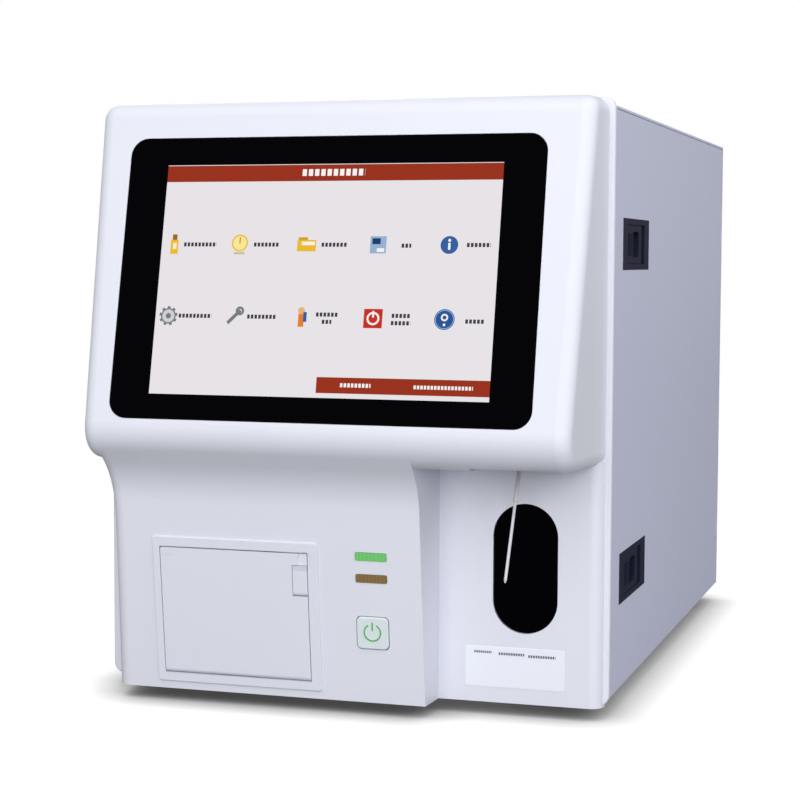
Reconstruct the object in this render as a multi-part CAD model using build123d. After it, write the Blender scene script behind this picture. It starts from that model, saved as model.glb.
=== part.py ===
from build123d import *
import math
import os

# Bench-top hematology analyzer, millimetres. Pieces are drawn in cabinet coordinates:
# X to the right, Y to the back from the joint of front panel and cabinet, Z up from the bench.
# Each finished piece is then moved so that the origin lies under the middle of the whole object.

# Cabinet
CABINET_W = 329.0
CABINET_D = 454.0
CABINET_H = 358.0
SHEET = 1.5
LIP = 14.0
FOOT_H = 8.0
FOOT_R = 12.0
FOOT_INSET = 34.0
REAR_REACH = 14.0
SEAM = 0.5
SIDE_SLOTS = 12
SIDE_SLOT_UPS = (40.0, 84.0)
SIDE_SLOT_H = 34.0
SIDE_SLOT_W = 4.0
SIDE_SLOT_FAR = 190.0
SIDE_SLOT_NEAR = 22.0
TRAY_SLOTS = 6
TRAY_SLOT_W = 5.0
TRAY_SLOT_L = 60.0
TRAY_SLOT_Y = 200.0
TRAY_SLOT_PITCH = 16.0
TRAY_SLOT_INSET = 43.0
REAR_SLOTS = 4
REAR_SLOT_X = (60.0, 130.0)
REAR_SLOT_H = 5.0
REAR_SLOT_UP = 250.0
REAR_SLOT_PITCH = 16.0

# Front panel moulding
PANEL_RISE = 5.0
PANEL_CORNER_R = 7.0
FLANGE_T = 4.0
WALL = 3.0
HOOD_TILT = 12.65
HOOD_TOP_REACH = 28.7
HOOD_BASE = 147.0
HOOD_TOP_R = 12.0
HOOD_EDGE_R = 9.0
HOOD_INSET = 3.5
SIDE_DRAFT = 7.0
LIP_R = 20.0
BLOCK_RIGHT = 58.0
BLOCK_INSET = 19.0
BLOCK_REACH = 36.0
BLOCK_LEAN = 6.4
BLOCK_DRAFT = 10.0
BLOCK_EDGE_R = 5.0
BAY_DRAFT = 2.5
BLOCK_LEFT_R = 9.0
SWEEP_ANGLE = 42.0
SWEEP_R = 40.0
FLARE_START = 105.0
FLARE_R = 180.0
BAY_REACH = 11.0
BAY_EDGE_R = 8.0

# Display
GLASS_W = 265.6
GLASS_H = 175.7
GLASS_T = 2.0
GLASS_R = 11.0
GLASS_GAP = 0.3
SCREEN_X = -2.1
SCREEN_UP = 259.5
LCD_W = 232.0
LCD_H = 161.0
LCD_T = 7.0
LCD_GAP = 2.3
BOSS_X = 126.0
BOSS_Y = 80.0
BRACKET_T = 1.2
BRACKET_FOLD = 8.0
DISPLAY_BOARD_W = 120.0
DISPLAY_BOARD_H = 80.0
STANDOFF = 6.0
BOARD_T = 1.6

# Printer
PRINTER_X = -62.6
PRINTER_UP = 51.8
PRINTER_W = 109.5
PRINTER_H = 94.0
BEZEL_PROUD = 1.2
BEZEL_EDGE = 3.2
DOOR_W = 97.0
DOOR_H = 81.0
DOOR_X = -0.8
DOOR_T = 2.5
DOOR_GAP = 0.5
PAPER_GAP = 0.8
DOOR_PIN_R = 1.2
LEDGE = 2.5
LEDGE_GAP = 0.4
LEDGE_T = 1.6
BUCKET_DEPTH = 62.0
BUCKET_WALL = 2.0
PAPER_W = 57.0
PAPER_R = 23.0
PAPER_CORE_R = 6.0
PLATEN_R = 5.0
PLATEN_SHAFT_R = 2.0
LEVER_W = 9.4
LEVER_H = 19.0
LEVER_R = 2.0
LEVER_DROP = 7.7
LEVER_GAP = 0.4
LEVER_PIN_R = 0.8
SCOOP_R = 4.5
SCOOP_DEEP = 0.7
FIT = 0.05

# Lights and power button
LIGHT_X = 26.0
GREEN_UP = 91.6
AMBER_UP = 78.0
LIGHT_W = 19.8
LIGHT_H = 5.0
LIGHT_GAP = 0.2
LIGHT_PROUD = 0.4
KEY_BOARD_UP = 64.0
KEY_BOARD_W = 38.0
KEY_BOARD_H = 80.0
KEY_BOARD_DEPTH = 13.0
BUTTON_UP = 44.2
BUTTON_SIZE = 20.0
BUTTON_R = 3.0
BUTTON_TRAVEL = 2.0
BUTTON_PROUD = 1.2
BUTTON_GAP = 0.5

# Aspirate key
KEY_INSET = 51.0
KEY_UP = 83.4
KEY_W = 39.8
KEY_H = 79.1
KEY_T = 4.0
KEY_SUNK = 0.6
KEY_TRAVEL = 2.5
KEY_GAP = 0.4
POST_PITCH = 28.0
POST_R = 3.0
POST_L = 12.0

# Sampling mechanism, drawn along the needle
NEEDLE_Y = -28.4
NEEDLE_UP = 145.8
NEEDLE_LEAN = 27.5
NEEDLE_R = 0.9
NEEDLE_TIP = 71.0
SLOT_LEFT = 22.0
SLOT_RIGHT = 16.0
SLOT_FRONT = 62.0
SLEEVE_R = 1.4
SLEEVE_END = 20.0
PROBE_TRAVEL = 72.0
HUB_RISE = 4.0
NIPPLE_RISE = 8.0
WIPE_START = 8.0
WIPE_SIZE = 22.0
CARRIAGE_START = 92.0
CARRIAGE_H = 22.0
CARRIAGE_W = 48.0
ROD_R = 3.0
ROD_OFFSET = 16.0
ROD_BACK = 17.0
SCREW_R = 3.0
RAIL_START = 26.0
RAIL_END = 196.0
PLATE_T = 2.0
MOTOR_SIZE = 35.0
MOTOR_H = 28.0

# Right side door with its latches and hinge
LATCH_FRONT = 24.3
LATCH_L = 89.6
LATCH_H = 32.0
LATCH_T = 9.0
LATCH_UPS = (74.0, 281.0)
SLIDE_START = 15.0
SLIDE_L = 50.0
SLIDE_H = 24.0
SLIDE_TRAVEL = 8.0
SLIDE_GAP = 0.3
HINGE_BACK = 6.5
HINGE_IN = 4.0
KNUCKLE_R = 2.6
KNUCKLE_L = 14.0
HINGE_PIN_R = 1.25
HINGE_UPS = (60.0, 300.0)
DOOR_LIP = 8.0
SCREW_HEAD_R = 3.0
SCREW_SHANK_R = 1.4
KEEPER_IN = 3.5
KEEPER_Y = 8.0
BOLT_OUT = 4.2
BOLT_T = 3.0
BOLT_H = 12.0

# Inner structure and fluidics
PARTITION_X = 22.0
PARTITION_T = 1.5
PARTITION_START = 24.0
BATH_R = 15.0
BATH_H = 46.0
BATH_WALL = 2.0
BATH_UP = 190.0
BATH_YS = (172.0, 214.0)
BATH_OUT = 34.0
SYRINGE_UP = 24.0
SYRINGE_Y = 92.0
SYRINGE_PITCH = 40.0
BARREL_RS = (11.0, 6.0)
BARREL_L = 58.0
BARREL_WALL = 1.5
PLUNGER_TRAVEL = 36.0
VALVE_PITCH = 32.0
VALVE_COLUMNS = 5
VALVE_UPS = (262.0, 306.0)
VALVE_BACK = 42.0
VALVE_EDGE = 20.0
MANIFOLD_T = 18.0
CHAMBER_R = 28.0
CHAMBER_H = 96.0
CHAMBER_Y = 232.0
PUMP_Y = 350.0
PUMP_UP = 110.0
PUMP_R = 30.0
PUMP_T = 34.0
PUMP_SHAFT_R = 3.0

# Electronics
FAN_SIZE = 80.0
FAN_T = 25.0
FAN_X = -70.0
FAN_UP = 250.0
INLET_INSET = 44.5
INLET_UP = 60.0
PORT_INSET = 80.5
PORT_UP = 60.0
PORT_PITCH = 26.0
NIPPLE_R = 2.5
INLET_W = 28.0
INLET_H = 52.0
INLET_DEPTH = 24.0
INLET_FLANGE = 3.0
INLET_FLANGE_T = 2.0
ROCKER_WELL = 17.2
ROCKER_DEPTH = 12.0
ROCKER_W = 19.0
ROCKER_RISE = 14.0
SOCKET_DROP = 10.0
FAN_HUB_R = 18.0
FAN_LIP = 2.0
GUARD_T = 2.0
SOCKET_X = -30.0
SOCKET_UP = 60.0
SOCKET_W = 68.0
SOCKET_H = 18.0
SOCKET_DEPTH = 16.0
SOCKET_PITCH = 21.0
PORT_H = 20.0
MAIN_BOARD_Y = (150.0, 370.0)
MAIN_BOARD_Z = (120.0, 320.0)
SUPPLY_W = 100.0
SUPPLY_L = 185.0
SUPPLY_H = 46.0
SUPPLY_INSET = 14.5
SUPPLY_GAP = 15.0
SUPPLY_SLOTS = 9
SUPPLY_SLOT_W = 6.0
SUPPLY_SLOT_EDGE = 12.0

# Worked out from the sizes above
SIDE = CABINET_W / 2
HOOD_SIDE = SIDE - HOOD_INSET
BLOCK_LEFT = SIDE - BLOCK_INSET
KEY_X = SIDE - KEY_INSET
INLET_X = -SIDE + INLET_INSET
PORT_X = SIDE - PORT_INSET
VALVE_START = CABINET_D - VALVE_BACK - (VALVE_COLUMNS - 0.5) * VALVE_PITCH
FLOOR = FOOT_H + PANEL_RISE
ROOF = FLOOR + CABINET_H
PANEL_BOTTOM = FOOT_H
PANEL_H = CABINET_H + 2 * PANEL_RISE
PANEL_TOP = PANEL_BOTTOM + PANEL_H
BEHIND = 40.0
FRAME_W = PRINTER_W - 2 * BEZEL_EDGE
FRAME_H = PRINTER_H - 2 * BEZEL_EDGE
TILT = math.radians(HOOD_TILT)
LEAN = math.radians(BLOCK_LEAN)


def block(x0, x1, y0, y1, z0, z1):
    """A plain block between its low and high corners."""
    centre = Pos((x0 + x1) / 2, (y0 + y1) / 2, (z0 + z1) / 2)
    return centre * Box(x1 - x0, y1 - y0, z1 - z0)


def rod(radius, x, y, z0, z1):
    """A round bar that stands along Z."""
    return Pos(x, y, (z0 + z1) / 2) * Cylinder(radius, z1 - z0)


def rod_x(radius, y, z, x0, x1):
    """A round bar that lies along X."""
    return Pos((x0 + x1) / 2, y, z) * Rot(0, 90, 0) * Cylinder(radius, x1 - x0)


def rod_y(radius, x, z, y0, y1):
    """A round bar that lies along Y."""
    return Pos(x, (y0 + y1) / 2, z) * Rot(90, 0, 0) * Cylinder(radius, y1 - y0)


def vertices_near(shape, point):
    """The flat shape's one corner that lies nearest to a point."""
    return [min(shape.vertices(), key=lambda v: (v.center() - Vector(*point)).length)]


def hood_front(up):
    """Y of the hood's leaning front face at a height above the panel's bottom."""
    return -HOOD_TOP_REACH - (PANEL_H - up) * math.tan(TILT)


def block_front(up):
    """Y of the printer block's leaning front face at a height above the panel's bottom."""
    return -BLOCK_REACH - up * math.tan(LEAN)


# Working planes, each with its normal pointing out of the panel
SCREEN = Plane(
    origin=(SCREEN_X, hood_front(SCREEN_UP), PANEL_BOTTOM + SCREEN_UP),
    x_dir=(1, 0, 0),
    z_dir=(0, -math.cos(TILT), math.sin(TILT)),
)


def block_plane(x, up):
    """A plane on the printer block's front face."""
    return Plane(
        origin=(x, block_front(up), PANEL_BOTTOM + up),
        x_dir=(1, 0, 0),
        z_dir=(0, -math.cos(LEAN), -math.sin(LEAN)),
    )


PRINTER = block_plane(PRINTER_X, PRINTER_UP)
KEY = Plane(origin=(KEY_X, -BAY_REACH, PANEL_BOTTOM + KEY_UP), x_dir=(1, 0, 0), z_dir=(0, -1, 0))
NEEDLE_TILT = math.radians(NEEDLE_LEAN)
PROBE = Plane(
    origin=(KEY_X, NEEDLE_Y, PANEL_BOTTOM + NEEDLE_UP),
    x_dir=(1, 0, 0),
    z_dir=(0, math.sin(NEEDLE_TILT), math.cos(NEEDLE_TILT)),
)


def plate_on(plane, width, height, radius, out, thick):
    """A round-cornered plate on a plane, from out behind or before it, thick towards the back."""
    outline = RectangleRounded(width, height, radius)
    return plane * Pos(0, 0, out - thick) * extrude(outline, thick)


# Front panel
def hood_sides(inset):
    """The space between the hood's two drafted sides."""
    slope = math.tan(math.radians(SIDE_DRAFT))
    side = HOOD_SIDE - inset
    back = side + slope * (BEHIND + FLANGE_T)
    reach = 4 * BLOCK_REACH
    front = side - slope * (reach - FLANGE_T)
    plan = Polyline((back, BEHIND), (-back, BEHIND), (-front, -reach), (front, -reach), close=True)
    return extrude(make_face(plan), PANEL_H)


def hood_form(inset):
    """The screen hood from its side profile and its drafted sides, inset for the inner face."""
    profile = make_face(
        Polyline(
            (BEHIND, HOOD_BASE),
            (hood_front(HOOD_BASE), HOOD_BASE),
            (hood_front(PANEL_H), PANEL_H),
            (BEHIND, PANEL_H),
            close=True,
        )
    )
    profile = fillet(vertices_near(profile, (hood_front(HOOD_BASE), HOOD_BASE)), LIP_R)
    profile = fillet(vertices_near(profile, (hood_front(PANEL_H), PANEL_H)), HOOD_TOP_R)
    if inset:
        profile = offset(profile, -inset)
    slab = extrude(Plane.YZ * profile, SIDE, both=True)
    slab = slab & hood_sides(inset)
    back = BEHIND - inset - 1
    edges = [
        e
        for face in slab.faces()
        if abs(face.normal_at().X) > 0.9
        for e in face.edges()
        if e.center().Y < back
    ]
    return fillet(edges, HOOD_EDGE_R - inset)


def block_form(inset):
    """The printer block: a front profile with a concave sweep, cut by a side that flares out."""
    turn = math.radians(SWEEP_ANGLE)
    centre_up = HOOD_BASE + LIP_R
    centre_y = hood_front(centre_up) + LIP_R / math.cos(TILT)
    leave = (centre_y - LIP_R * math.cos(turn), centre_up - LIP_R * math.sin(turn))
    gap = leave[0] - block_front(leave[1])
    run = -gap / (math.sin(turn) - math.cos(turn) * math.tan(LEAN))
    knee = (leave[0] + run * math.sin(turn), leave[1] - run * math.cos(turn))
    profile = make_face(
        Polyline(
            (BEHIND, 0),
            (-BLOCK_REACH, 0),
            knee,
            leave,
            (centre_y, centre_up),
            (BEHIND, centre_up),
            close=True,
        )
    )
    profile = fillet(vertices_near(profile, knee), SWEEP_R)
    if inset:
        profile = offset(profile, -inset)
    slab = extrude(Plane.YZ * profile, SIDE, both=True)
    slope = math.tan(math.radians(BLOCK_DRAFT))
    ahead = 2 * BLOCK_REACH + LIP_R
    left = inset - BLOCK_LEFT + slope * (ahead - BLOCK_REACH)
    rise = HOOD_BASE + 2 * LIP_R - FLARE_START
    top = FLARE_START + rise
    swing = math.asin(rise / FLARE_R)
    mid = (left - FLARE_R * (1 - math.cos(swing / 2)), FLARE_START + FLARE_R * math.sin(swing / 2))
    end = (left - FLARE_R * (1 - math.cos(swing)), top)
    side = make_face(
        Polyline((left, FLARE_START), (left, 0), (SIDE, 0), (SIDE, top), end)
        + ThreePointArc((left, FLARE_START), mid, end)
    )
    across = Plane(origin=(0, -ahead, 0), x_dir=(1, 0, 0), z_dir=(0, -1, 0)) * side
    draw = Vector(-slope, 1, 0)
    slab = slab & extrude(across, (ahead + BEHIND) * draw.length, dir=draw)
    lean_out = math.tan(math.radians(BAY_DRAFT))
    near = BLOCK_RIGHT - inset - lean_out * (ahead - BLOCK_REACH)
    far = BLOCK_RIGHT - inset + lean_out * (BLOCK_REACH + BEHIND)
    plan = Polyline((-SIDE, -ahead), (near, -ahead), (far, BEHIND), (-SIDE, BEHIND), close=True)
    slab = slab & extrude(make_face(plan), PANEL_H) & hood_sides(inset)
    fronts = [e for e in slab.edges() if e.center().Y < -BLOCK_REACH - 1 and 1 < e.center().Z < leave[1]]
    right = [e for e in fronts if e.center().X > BLOCK_RIGHT - 2 * BAY_EDGE_R]
    left = [e for e in fronts if e.center().X < 2 * BAY_EDGE_R - BLOCK_LEFT]
    slab = fillet(right, BLOCK_EDGE_R - inset)
    return fillet(left, BLOCK_LEFT_R - inset)


def bay_form(inset):
    """The raised wall of the sample bay with its drafted, rounded right side."""
    slope = math.tan(math.radians(SIDE_DRAFT))
    side = HOOD_SIDE - inset
    front = -BAY_REACH + inset
    plan = make_face(
        Polyline(
            (BLOCK_RIGHT - 2 * WALL, BEHIND),
            (BLOCK_RIGHT - 2 * WALL, front),
            (side - slope * (BAY_REACH - FLANGE_T - inset), front),
            (side + slope * (BEHIND + FLANGE_T), BEHIND),
            close=True,
        )
    )
    corner = (side - slope * (BAY_REACH - FLANGE_T - inset), front)
    plan = fillet(vertices_near(plan, corner), BAY_EDGE_R - inset)
    return Pos(0, 0, inset) * extrude(plan, HOOD_BASE + WALL)


def stadium(width, height):
    """An upright outline with fully round ends."""
    return Rot(0, 0, 90) * SlotOverall(height, width)


def boss(plane, x, y, radius, length):
    """A screw boss that grows from the panel's inner face, with its pilot hole."""
    ring = Circle(radius) - Circle(radius / 3)
    return plane * Pos(x, y, -WALL - length) * extrude(ring, length)


def panel_openings():
    """Everything that is cut out of the front panel."""
    glass = plate_on(
        SCREEN,
        GLASS_W + 2 * GLASS_GAP,
        GLASS_H + 2 * GLASS_GAP,
        GLASS_R + GLASS_GAP,
        WALL,
        GLASS_T + WALL,
    )
    window = plate_on(SCREEN, LCD_W + 2, LCD_H + 2, 2, WALL, 3 * WALL)
    printer = PRINTER * Pos(0, 0, -3 * WALL) * extrude(
        Rectangle(FRAME_W + 2 * GLASS_GAP, FRAME_H + 2 * GLASS_GAP), 6 * WALL
    )
    cuts = [glass, window, printer]
    for up in (GREEN_UP, AMBER_UP):
        plane = block_plane(LIGHT_X, up)
        cuts.append(plate_on(plane, LIGHT_W + 2 * LIGHT_GAP, LIGHT_H + 2 * LIGHT_GAP, 1, WALL, 3 * WALL))
    size = BUTTON_SIZE + 2 * BUTTON_GAP
    cuts.append(plate_on(block_plane(LIGHT_X, BUTTON_UP), size, size, BUTTON_R, WALL, 3 * WALL))
    hole = stadium(KEY_W + 2 * KEY_GAP, KEY_H + 2 * KEY_GAP)
    cuts.append(KEY * Pos(0, 0, -3 * WALL) * extrude(hole, 6 * WALL))
    cuts.append(
        block(
            KEY_X - SLOT_LEFT,
            KEY_X + SLOT_RIGHT,
            -SLOT_FRONT,
            -BAY_REACH - 1,
            PANEL_BOTTOM + HOOD_BASE - WALL,
            PANEL_BOTTOM + HOOD_BASE + 2 * WALL,
        )
    )
    return cuts


def panel_bosses():
    """Screw bosses for the display bracket and the key board."""
    bosses = []
    for x in (-BOSS_X, BOSS_X):
        for y in (-BOSS_Y, BOSS_Y):
            bosses.append(boss(SCREEN, x, y, 4, LCD_GAP + LCD_T - WALL))
    plane = block_plane(LIGHT_X, KEY_BOARD_UP)
    for x in (-KEY_BOARD_W / 2 + 4, KEY_BOARD_W / 2 - 4):
        for y in (-KEY_BOARD_H / 2 + 4, KEY_BOARD_H / 2 - 4):
            bosses.append(boss(plane, x, y, 3, KEY_BOARD_DEPTH - WALL))
    return bosses


def front_panel():
    """One moulded shell: flange, leaning screen hood, printer block and sample bay."""
    outline = RectangleRounded(CABINET_W, PANEL_H, PANEL_CORNER_R)
    flange = extrude(Plane.XZ * Pos(0, PANEL_H / 2) * outline, FLANGE_T)
    flange = fillet(flange.faces().sort_by(Axis.Y)[0].edges(), 1.5)
    outer = hood_form(0) + block_form(0) + bay_form(0)
    outer = outer & block(-SIDE, SIDE, -4 * BLOCK_REACH, 0, 0, PANEL_H)
    inner = hood_form(WALL) + block_form(WALL) + bay_form(WALL)
    shell = (flange + outer) - inner
    shell = Pos(0, 0, PANEL_BOTTOM) * shell
    return shell - panel_openings() + panel_bosses()


# Display
def touch_glass():
    """The black-edged glass, flush with the hood."""
    return plate_on(SCREEN, GLASS_W, GLASS_H, GLASS_R, 0, GLASS_T)


def lcd_module():
    """The screen panel: a metal frame round the picture area, with a thicker back."""
    body = plate_on(SCREEN, LCD_W, LCD_H, 2, -LCD_GAP, LCD_T - 2)
    picture = plate_on(SCREEN, LCD_W - 14, LCD_H - 14, 1, -LCD_GAP + 1, 2)
    back = plate_on(SCREEN, LCD_W - 30, LCD_H - 30, 4, 2 - LCD_GAP - LCD_T, 2)
    return body - picture + back


def display_bracket():
    """A folded plate that holds the screen panel to the hood's bosses."""
    out = -LCD_GAP - LCD_T
    width = 2 * BOSS_X + 12
    height = 2 * BOSS_Y + 12
    plate = plate_on(SCREEN, width, height, 5, out, BRACKET_T)
    for x in (-BOSS_X, BOSS_X):
        for y in (-BOSS_Y, BOSS_Y):
            plate -= SCREEN * Pos(x, y, out) * Cylinder(1.8, 4 * BRACKET_T)
    for y in (-height / 2 + BRACKET_T, height / 2):
        fold = Rectangle(width - 3 * LIP, BRACKET_T, align=(Align.CENTER, Align.MAX))
        plate += SCREEN * Pos(0, y, out - BRACKET_FOLD) * extrude(fold, BRACKET_FOLD)
    for x, y in board_corners():
        post = Circle(3)
        plate += SCREEN * Pos(x, y, out - BRACKET_T - STANDOFF) * extrude(post, STANDOFF)
    return plate


def board_corners():
    """Where the display board stands on its four posts."""
    x = DISPLAY_BOARD_W / 2 - 5
    y = DISPLAY_BOARD_H / 2 - 5
    return [(-x, -y), (-x, y), (x, -y), (x, y)]


def display_board():
    """The screen's drive board with its parts on the far side."""
    out = -LCD_GAP - LCD_T - BRACKET_T - STANDOFF
    board = plate_on(SCREEN, DISPLAY_BOARD_W, DISPLAY_BOARD_H, 2, out, BOARD_T)
    back = out - BOARD_T
    for x, y, width, height, tall in (
        (-25, 5, 22, 22, 2),
        (10, 15, 14, 18, 1.5),
        (35, -10, 10, 14, 1.5),
        (-10, -25, 40, 6, 4),
        (30, 25, 18, 6, 4),
    ):
        board += SCREEN * Pos(x, y, back - tall) * extrude(Rectangle(width, height), tall)
    return board


# Printer, drawn on the block's face: x to the right, y up the face, z out of it
def on_printer(shape):
    """Move a piece drawn on the printer's own axes into place."""
    return PRINTER * shape


DOOR_BOTTOM = -DOOR_H / 2 - 0.5
DOOR_TOP = DOOR_BOTTOM + DOOR_H
DOOR_AXIS_Y = DOOR_BOTTOM + DOOR_T
DOOR_AXIS_Z = BEZEL_PROUD - DOOR_T
DOOR_RIGHT = DOOR_X + DOOR_W / 2
LEVER_X = DOOR_RIGHT - LEVER_W / 2
LEVER_TOP = DOOR_TOP - LEVER_DROP
LEVER_AXIS_Y = LEVER_TOP - LEVER_H + LEVER_R
LEVER_AXIS_Z = BEZEL_PROUD - LEVER_R
PLATEN_Y = DOOR_TOP - 9
PLATEN_Z = BEZEL_PROUD - DOOR_T - PLATEN_R - 2.5
HALF_BODY = FRAME_W / 2
EAR_X = LEVER_X - LEVER_W / 2 - 0.2
EAR_T = 2.0
EAR_HALF = 2.2
EAR_FRONT = LEVER_PIN_R + 0.5


def thumb_scoop():
    """The shallow round hollow above the lever, cut into both the door's corner and the bezel."""
    x = LEVER_X + 3.3
    y = LEVER_TOP + SCOOP_R - 0.2
    floor = BEZEL_PROUD - SCOOP_DEEP
    scoop = Pos(x, y, floor) * extrude(Circle(SCOOP_R), 2)
    return scoop + block(DOOR_RIGHT, x + SCOOP_R, LEVER_TOP - 3.2, y, floor, floor + 2)


def printer_frame():
    """Bezel and paper bucket in one moulding, with a ledge behind the door and the bearings."""
    bezel = extrude(RectangleRounded(PRINTER_W, PRINTER_H, 2), BEZEL_PROUD)
    bezel = fillet(bezel.faces().sort_by(Axis.Z)[-1].edges(), 0.6)
    body = Pos(0, 0, -BUCKET_DEPTH) * extrude(Rectangle(FRAME_W, FRAME_H), BUCKET_DEPTH)
    left = DOOR_X - DOOR_W / 2 - DOOR_GAP
    right = DOOR_RIGHT + DOOR_GAP
    low = DOOR_BOTTOM - DOOR_GAP
    high = DOOR_TOP + PAPER_GAP
    front = DOOR_AXIS_Z - LEDGE_GAP
    back = front - LEDGE_T
    frame = bezel + body - block(left, right, low, high, BUCKET_WALL - BUCKET_DEPTH, 2 * BEZEL_PROUD)
    frame += block(left, left + LEDGE, DOOR_AXIS_Y + 2 * DOOR_T, high, back, front)
    frame += block(right - LEDGE, right, DOOR_AXIS_Y + 2 * DOOR_T, high, back, front)
    clear = PAPER_W / 2 + 3
    frame += block(left, -clear, DOOR_TOP - 1, high, back, front)
    frame += block(clear, right, DOOR_TOP - 1, high, back, front)
    sill = DOOR_AXIS_Z - DOOR_T - LEDGE_GAP
    frame += block(left, right, low, low + LEDGE, sill - LEDGE_T, sill)
    frame += block(EAR_X - EAR_T, right, LEVER_AXIS_Y - 5, LEVER_TOP + 4, back, front)
    frame += block(
        EAR_X - EAR_T,
        EAR_X,
        LEVER_AXIS_Y - EAR_HALF,
        LEVER_AXIS_Y + EAR_HALF,
        back,
        LEVER_AXIS_Z + EAR_FRONT,
    )
    half = LEVER_R + 0.3
    frame -= block(EAR_X, right, LEVER_AXIS_Y - half, LEVER_AXIS_Y + half, back - 1, front + 1)
    frame -= rod_x(DOOR_PIN_R + FIT, DOOR_AXIS_Y, DOOR_AXIS_Z, -HALF_BODY - 1, HALF_BODY + 1)
    frame -= rod_x(LEVER_PIN_R + FIT, LEVER_AXIS_Y, LEVER_AXIS_Z, EAR_X - EAR_T - 1, right + 3)
    frame -= thumb_scoop()
    saddle_x = PAPER_W / 2 + 2
    saddle = block(saddle_x, saddle_x + 2, low, PAPER_Y, 2 - BUCKET_DEPTH, 4 - BUCKET_DEPTH / 3)
    for piece in (saddle, mirror(saddle, Plane.YZ)):
        frame += piece
    return on_printer(frame)


PAPER_Y = DOOR_BOTTOM - DOOR_GAP + PAPER_R
PAPER_Z = -BUCKET_DEPTH / 2 - 2


def paper_roll():
    """The roll of record paper on its core, lying in the bucket."""
    ring = Circle(PAPER_R) - Circle(PAPER_CORE_R)
    roll = extrude(ring, PAPER_W)
    return on_printer(Pos(-PAPER_W / 2, PAPER_Y, PAPER_Z) * Rot(0, 90, 0) * roll)


def printer_door():
    """The door with a round lower edge for its hinge and two ears for the platen."""
    left = DOOR_X - DOOR_W / 2
    notch_x = DOOR_RIGHT - LEVER_W - LEVER_GAP
    notch_low = LEVER_AXIS_Y - LEVER_R - LEVER_GAP
    sheet = make_face(
        Polyline(
            (left, DOOR_AXIS_Y),
            (DOOR_RIGHT, DOOR_AXIS_Y),
            (DOOR_RIGHT, notch_low),
            (notch_x, notch_low),
            (notch_x, LEVER_TOP + LEVER_GAP),
            (DOOR_RIGHT, LEVER_TOP + LEVER_GAP),
            (DOOR_RIGHT, DOOR_TOP),
            (left, DOOR_TOP),
            close=True,
        )
    )
    sheet = fillet(vertices_near(sheet, (left, DOOR_TOP)), 1.5)
    door = Pos(0, 0, DOOR_AXIS_Z) * extrude(sheet, DOOR_T)
    door -= block(
        EAR_X - EAR_T - LEVER_GAP,
        notch_x + 1,
        LEVER_AXIS_Y - EAR_HALF - LEVER_GAP,
        LEVER_AXIS_Y + EAR_HALF + LEVER_GAP,
        DOOR_AXIS_Z - 1,
        LEVER_AXIS_Z + EAR_FRONT + 0.2,
    )
    door -= thumb_scoop()
    door -= block(left - 1, left + 8, DOOR_TOP - 4.6, DOOR_TOP - 4.2, BEZEL_PROUD - 0.4, BEZEL_PROUD + 1)
    door += rod_x(DOOR_T, DOOR_AXIS_Y, DOOR_AXIS_Z, left, DOOR_RIGHT)
    door += rod_x(DOOR_PIN_R, DOOR_AXIS_Y, DOOR_AXIS_Z, -HALF_BODY + 0.4, HALF_BODY - 0.4)
    for side in (-1, 1):
        near = side * (PAPER_W / 2 + 1)
        far = side * (PAPER_W / 2 + 4)
        door += block(
            min(near, far), max(near, far), PLATEN_Y - 5, PLATEN_Y + 4, PLATEN_Z - 3.4, DOOR_AXIS_Z + 0.5
        )
    for y in (DOOR_AXIS_Y + 12, DOOR_AXIS_Y + 34):
        door += block(-34, 34, y, y + 1.5, DOOR_AXIS_Z - 2, DOOR_AXIS_Z)
    door -= rod_x(PLATEN_SHAFT_R + FIT, PLATEN_Y, PLATEN_Z, -PAPER_W / 2 - 5, PAPER_W / 2 + 5)
    return on_printer(door)


def platen_roller():
    """The rubber platen on its steel shaft."""
    roller = rod_x(PLATEN_R, PLATEN_Y, PLATEN_Z, -PAPER_W / 2 + 0.5, PAPER_W / 2 - 0.5)
    shaft = rod_x(PLATEN_SHAFT_R, PLATEN_Y, PLATEN_Z, -PAPER_W / 2 - 5, PAPER_W / 2 + 5)
    return on_printer(roller + shaft)


def print_head():
    """The thermal head on its cooling plate, behind the platen, under the bucket's roof."""
    back = PLATEN_Z - PLATEN_R - 0.5
    roof = DOOR_TOP + PAPER_GAP
    head = block(-PAPER_W / 2, PAPER_W / 2, PLATEN_Y - 6, roof, back - 3, back)
    fins = block(-PAPER_W / 2, PAPER_W / 2, PLATEN_Y - 6, roof, back - 9, back - 3)
    for i in range(5):
        x = -PAPER_W / 2 + 6 + i * (PAPER_W - 16) / 4
        fins -= block(x, x + 4, PLATEN_Y - 7, roof - 2, back - 10, back - 5)
    return on_printer(head + fins)


def printer_lever():
    """The small release lever at the door's corner, flush with the door."""
    outline = make_face(
        Polyline(
            (LEVER_AXIS_Y, BEZEL_PROUD - 2.4),
            (LEVER_AXIS_Y, BEZEL_PROUD),
            (LEVER_TOP - 3, BEZEL_PROUD),
            (LEVER_TOP, BEZEL_PROUD + 0.6),
            (LEVER_TOP, BEZEL_PROUD - 2.4),
            close=True,
        )
    )
    left = LEVER_X - LEVER_W / 2
    lever = extrude(Plane(origin=(left, 0, 0), x_dir=(0, 1, 0), z_dir=(1, 0, 0)) * outline, LEVER_W)
    lever += rod_x(LEVER_R, LEVER_AXIS_Y, LEVER_AXIS_Z, left, left + LEVER_W)
    lever += rod_x(LEVER_PIN_R, LEVER_AXIS_Y, LEVER_AXIS_Z, left - 2, left + LEVER_W + 2)
    return on_printer(lever)


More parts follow.
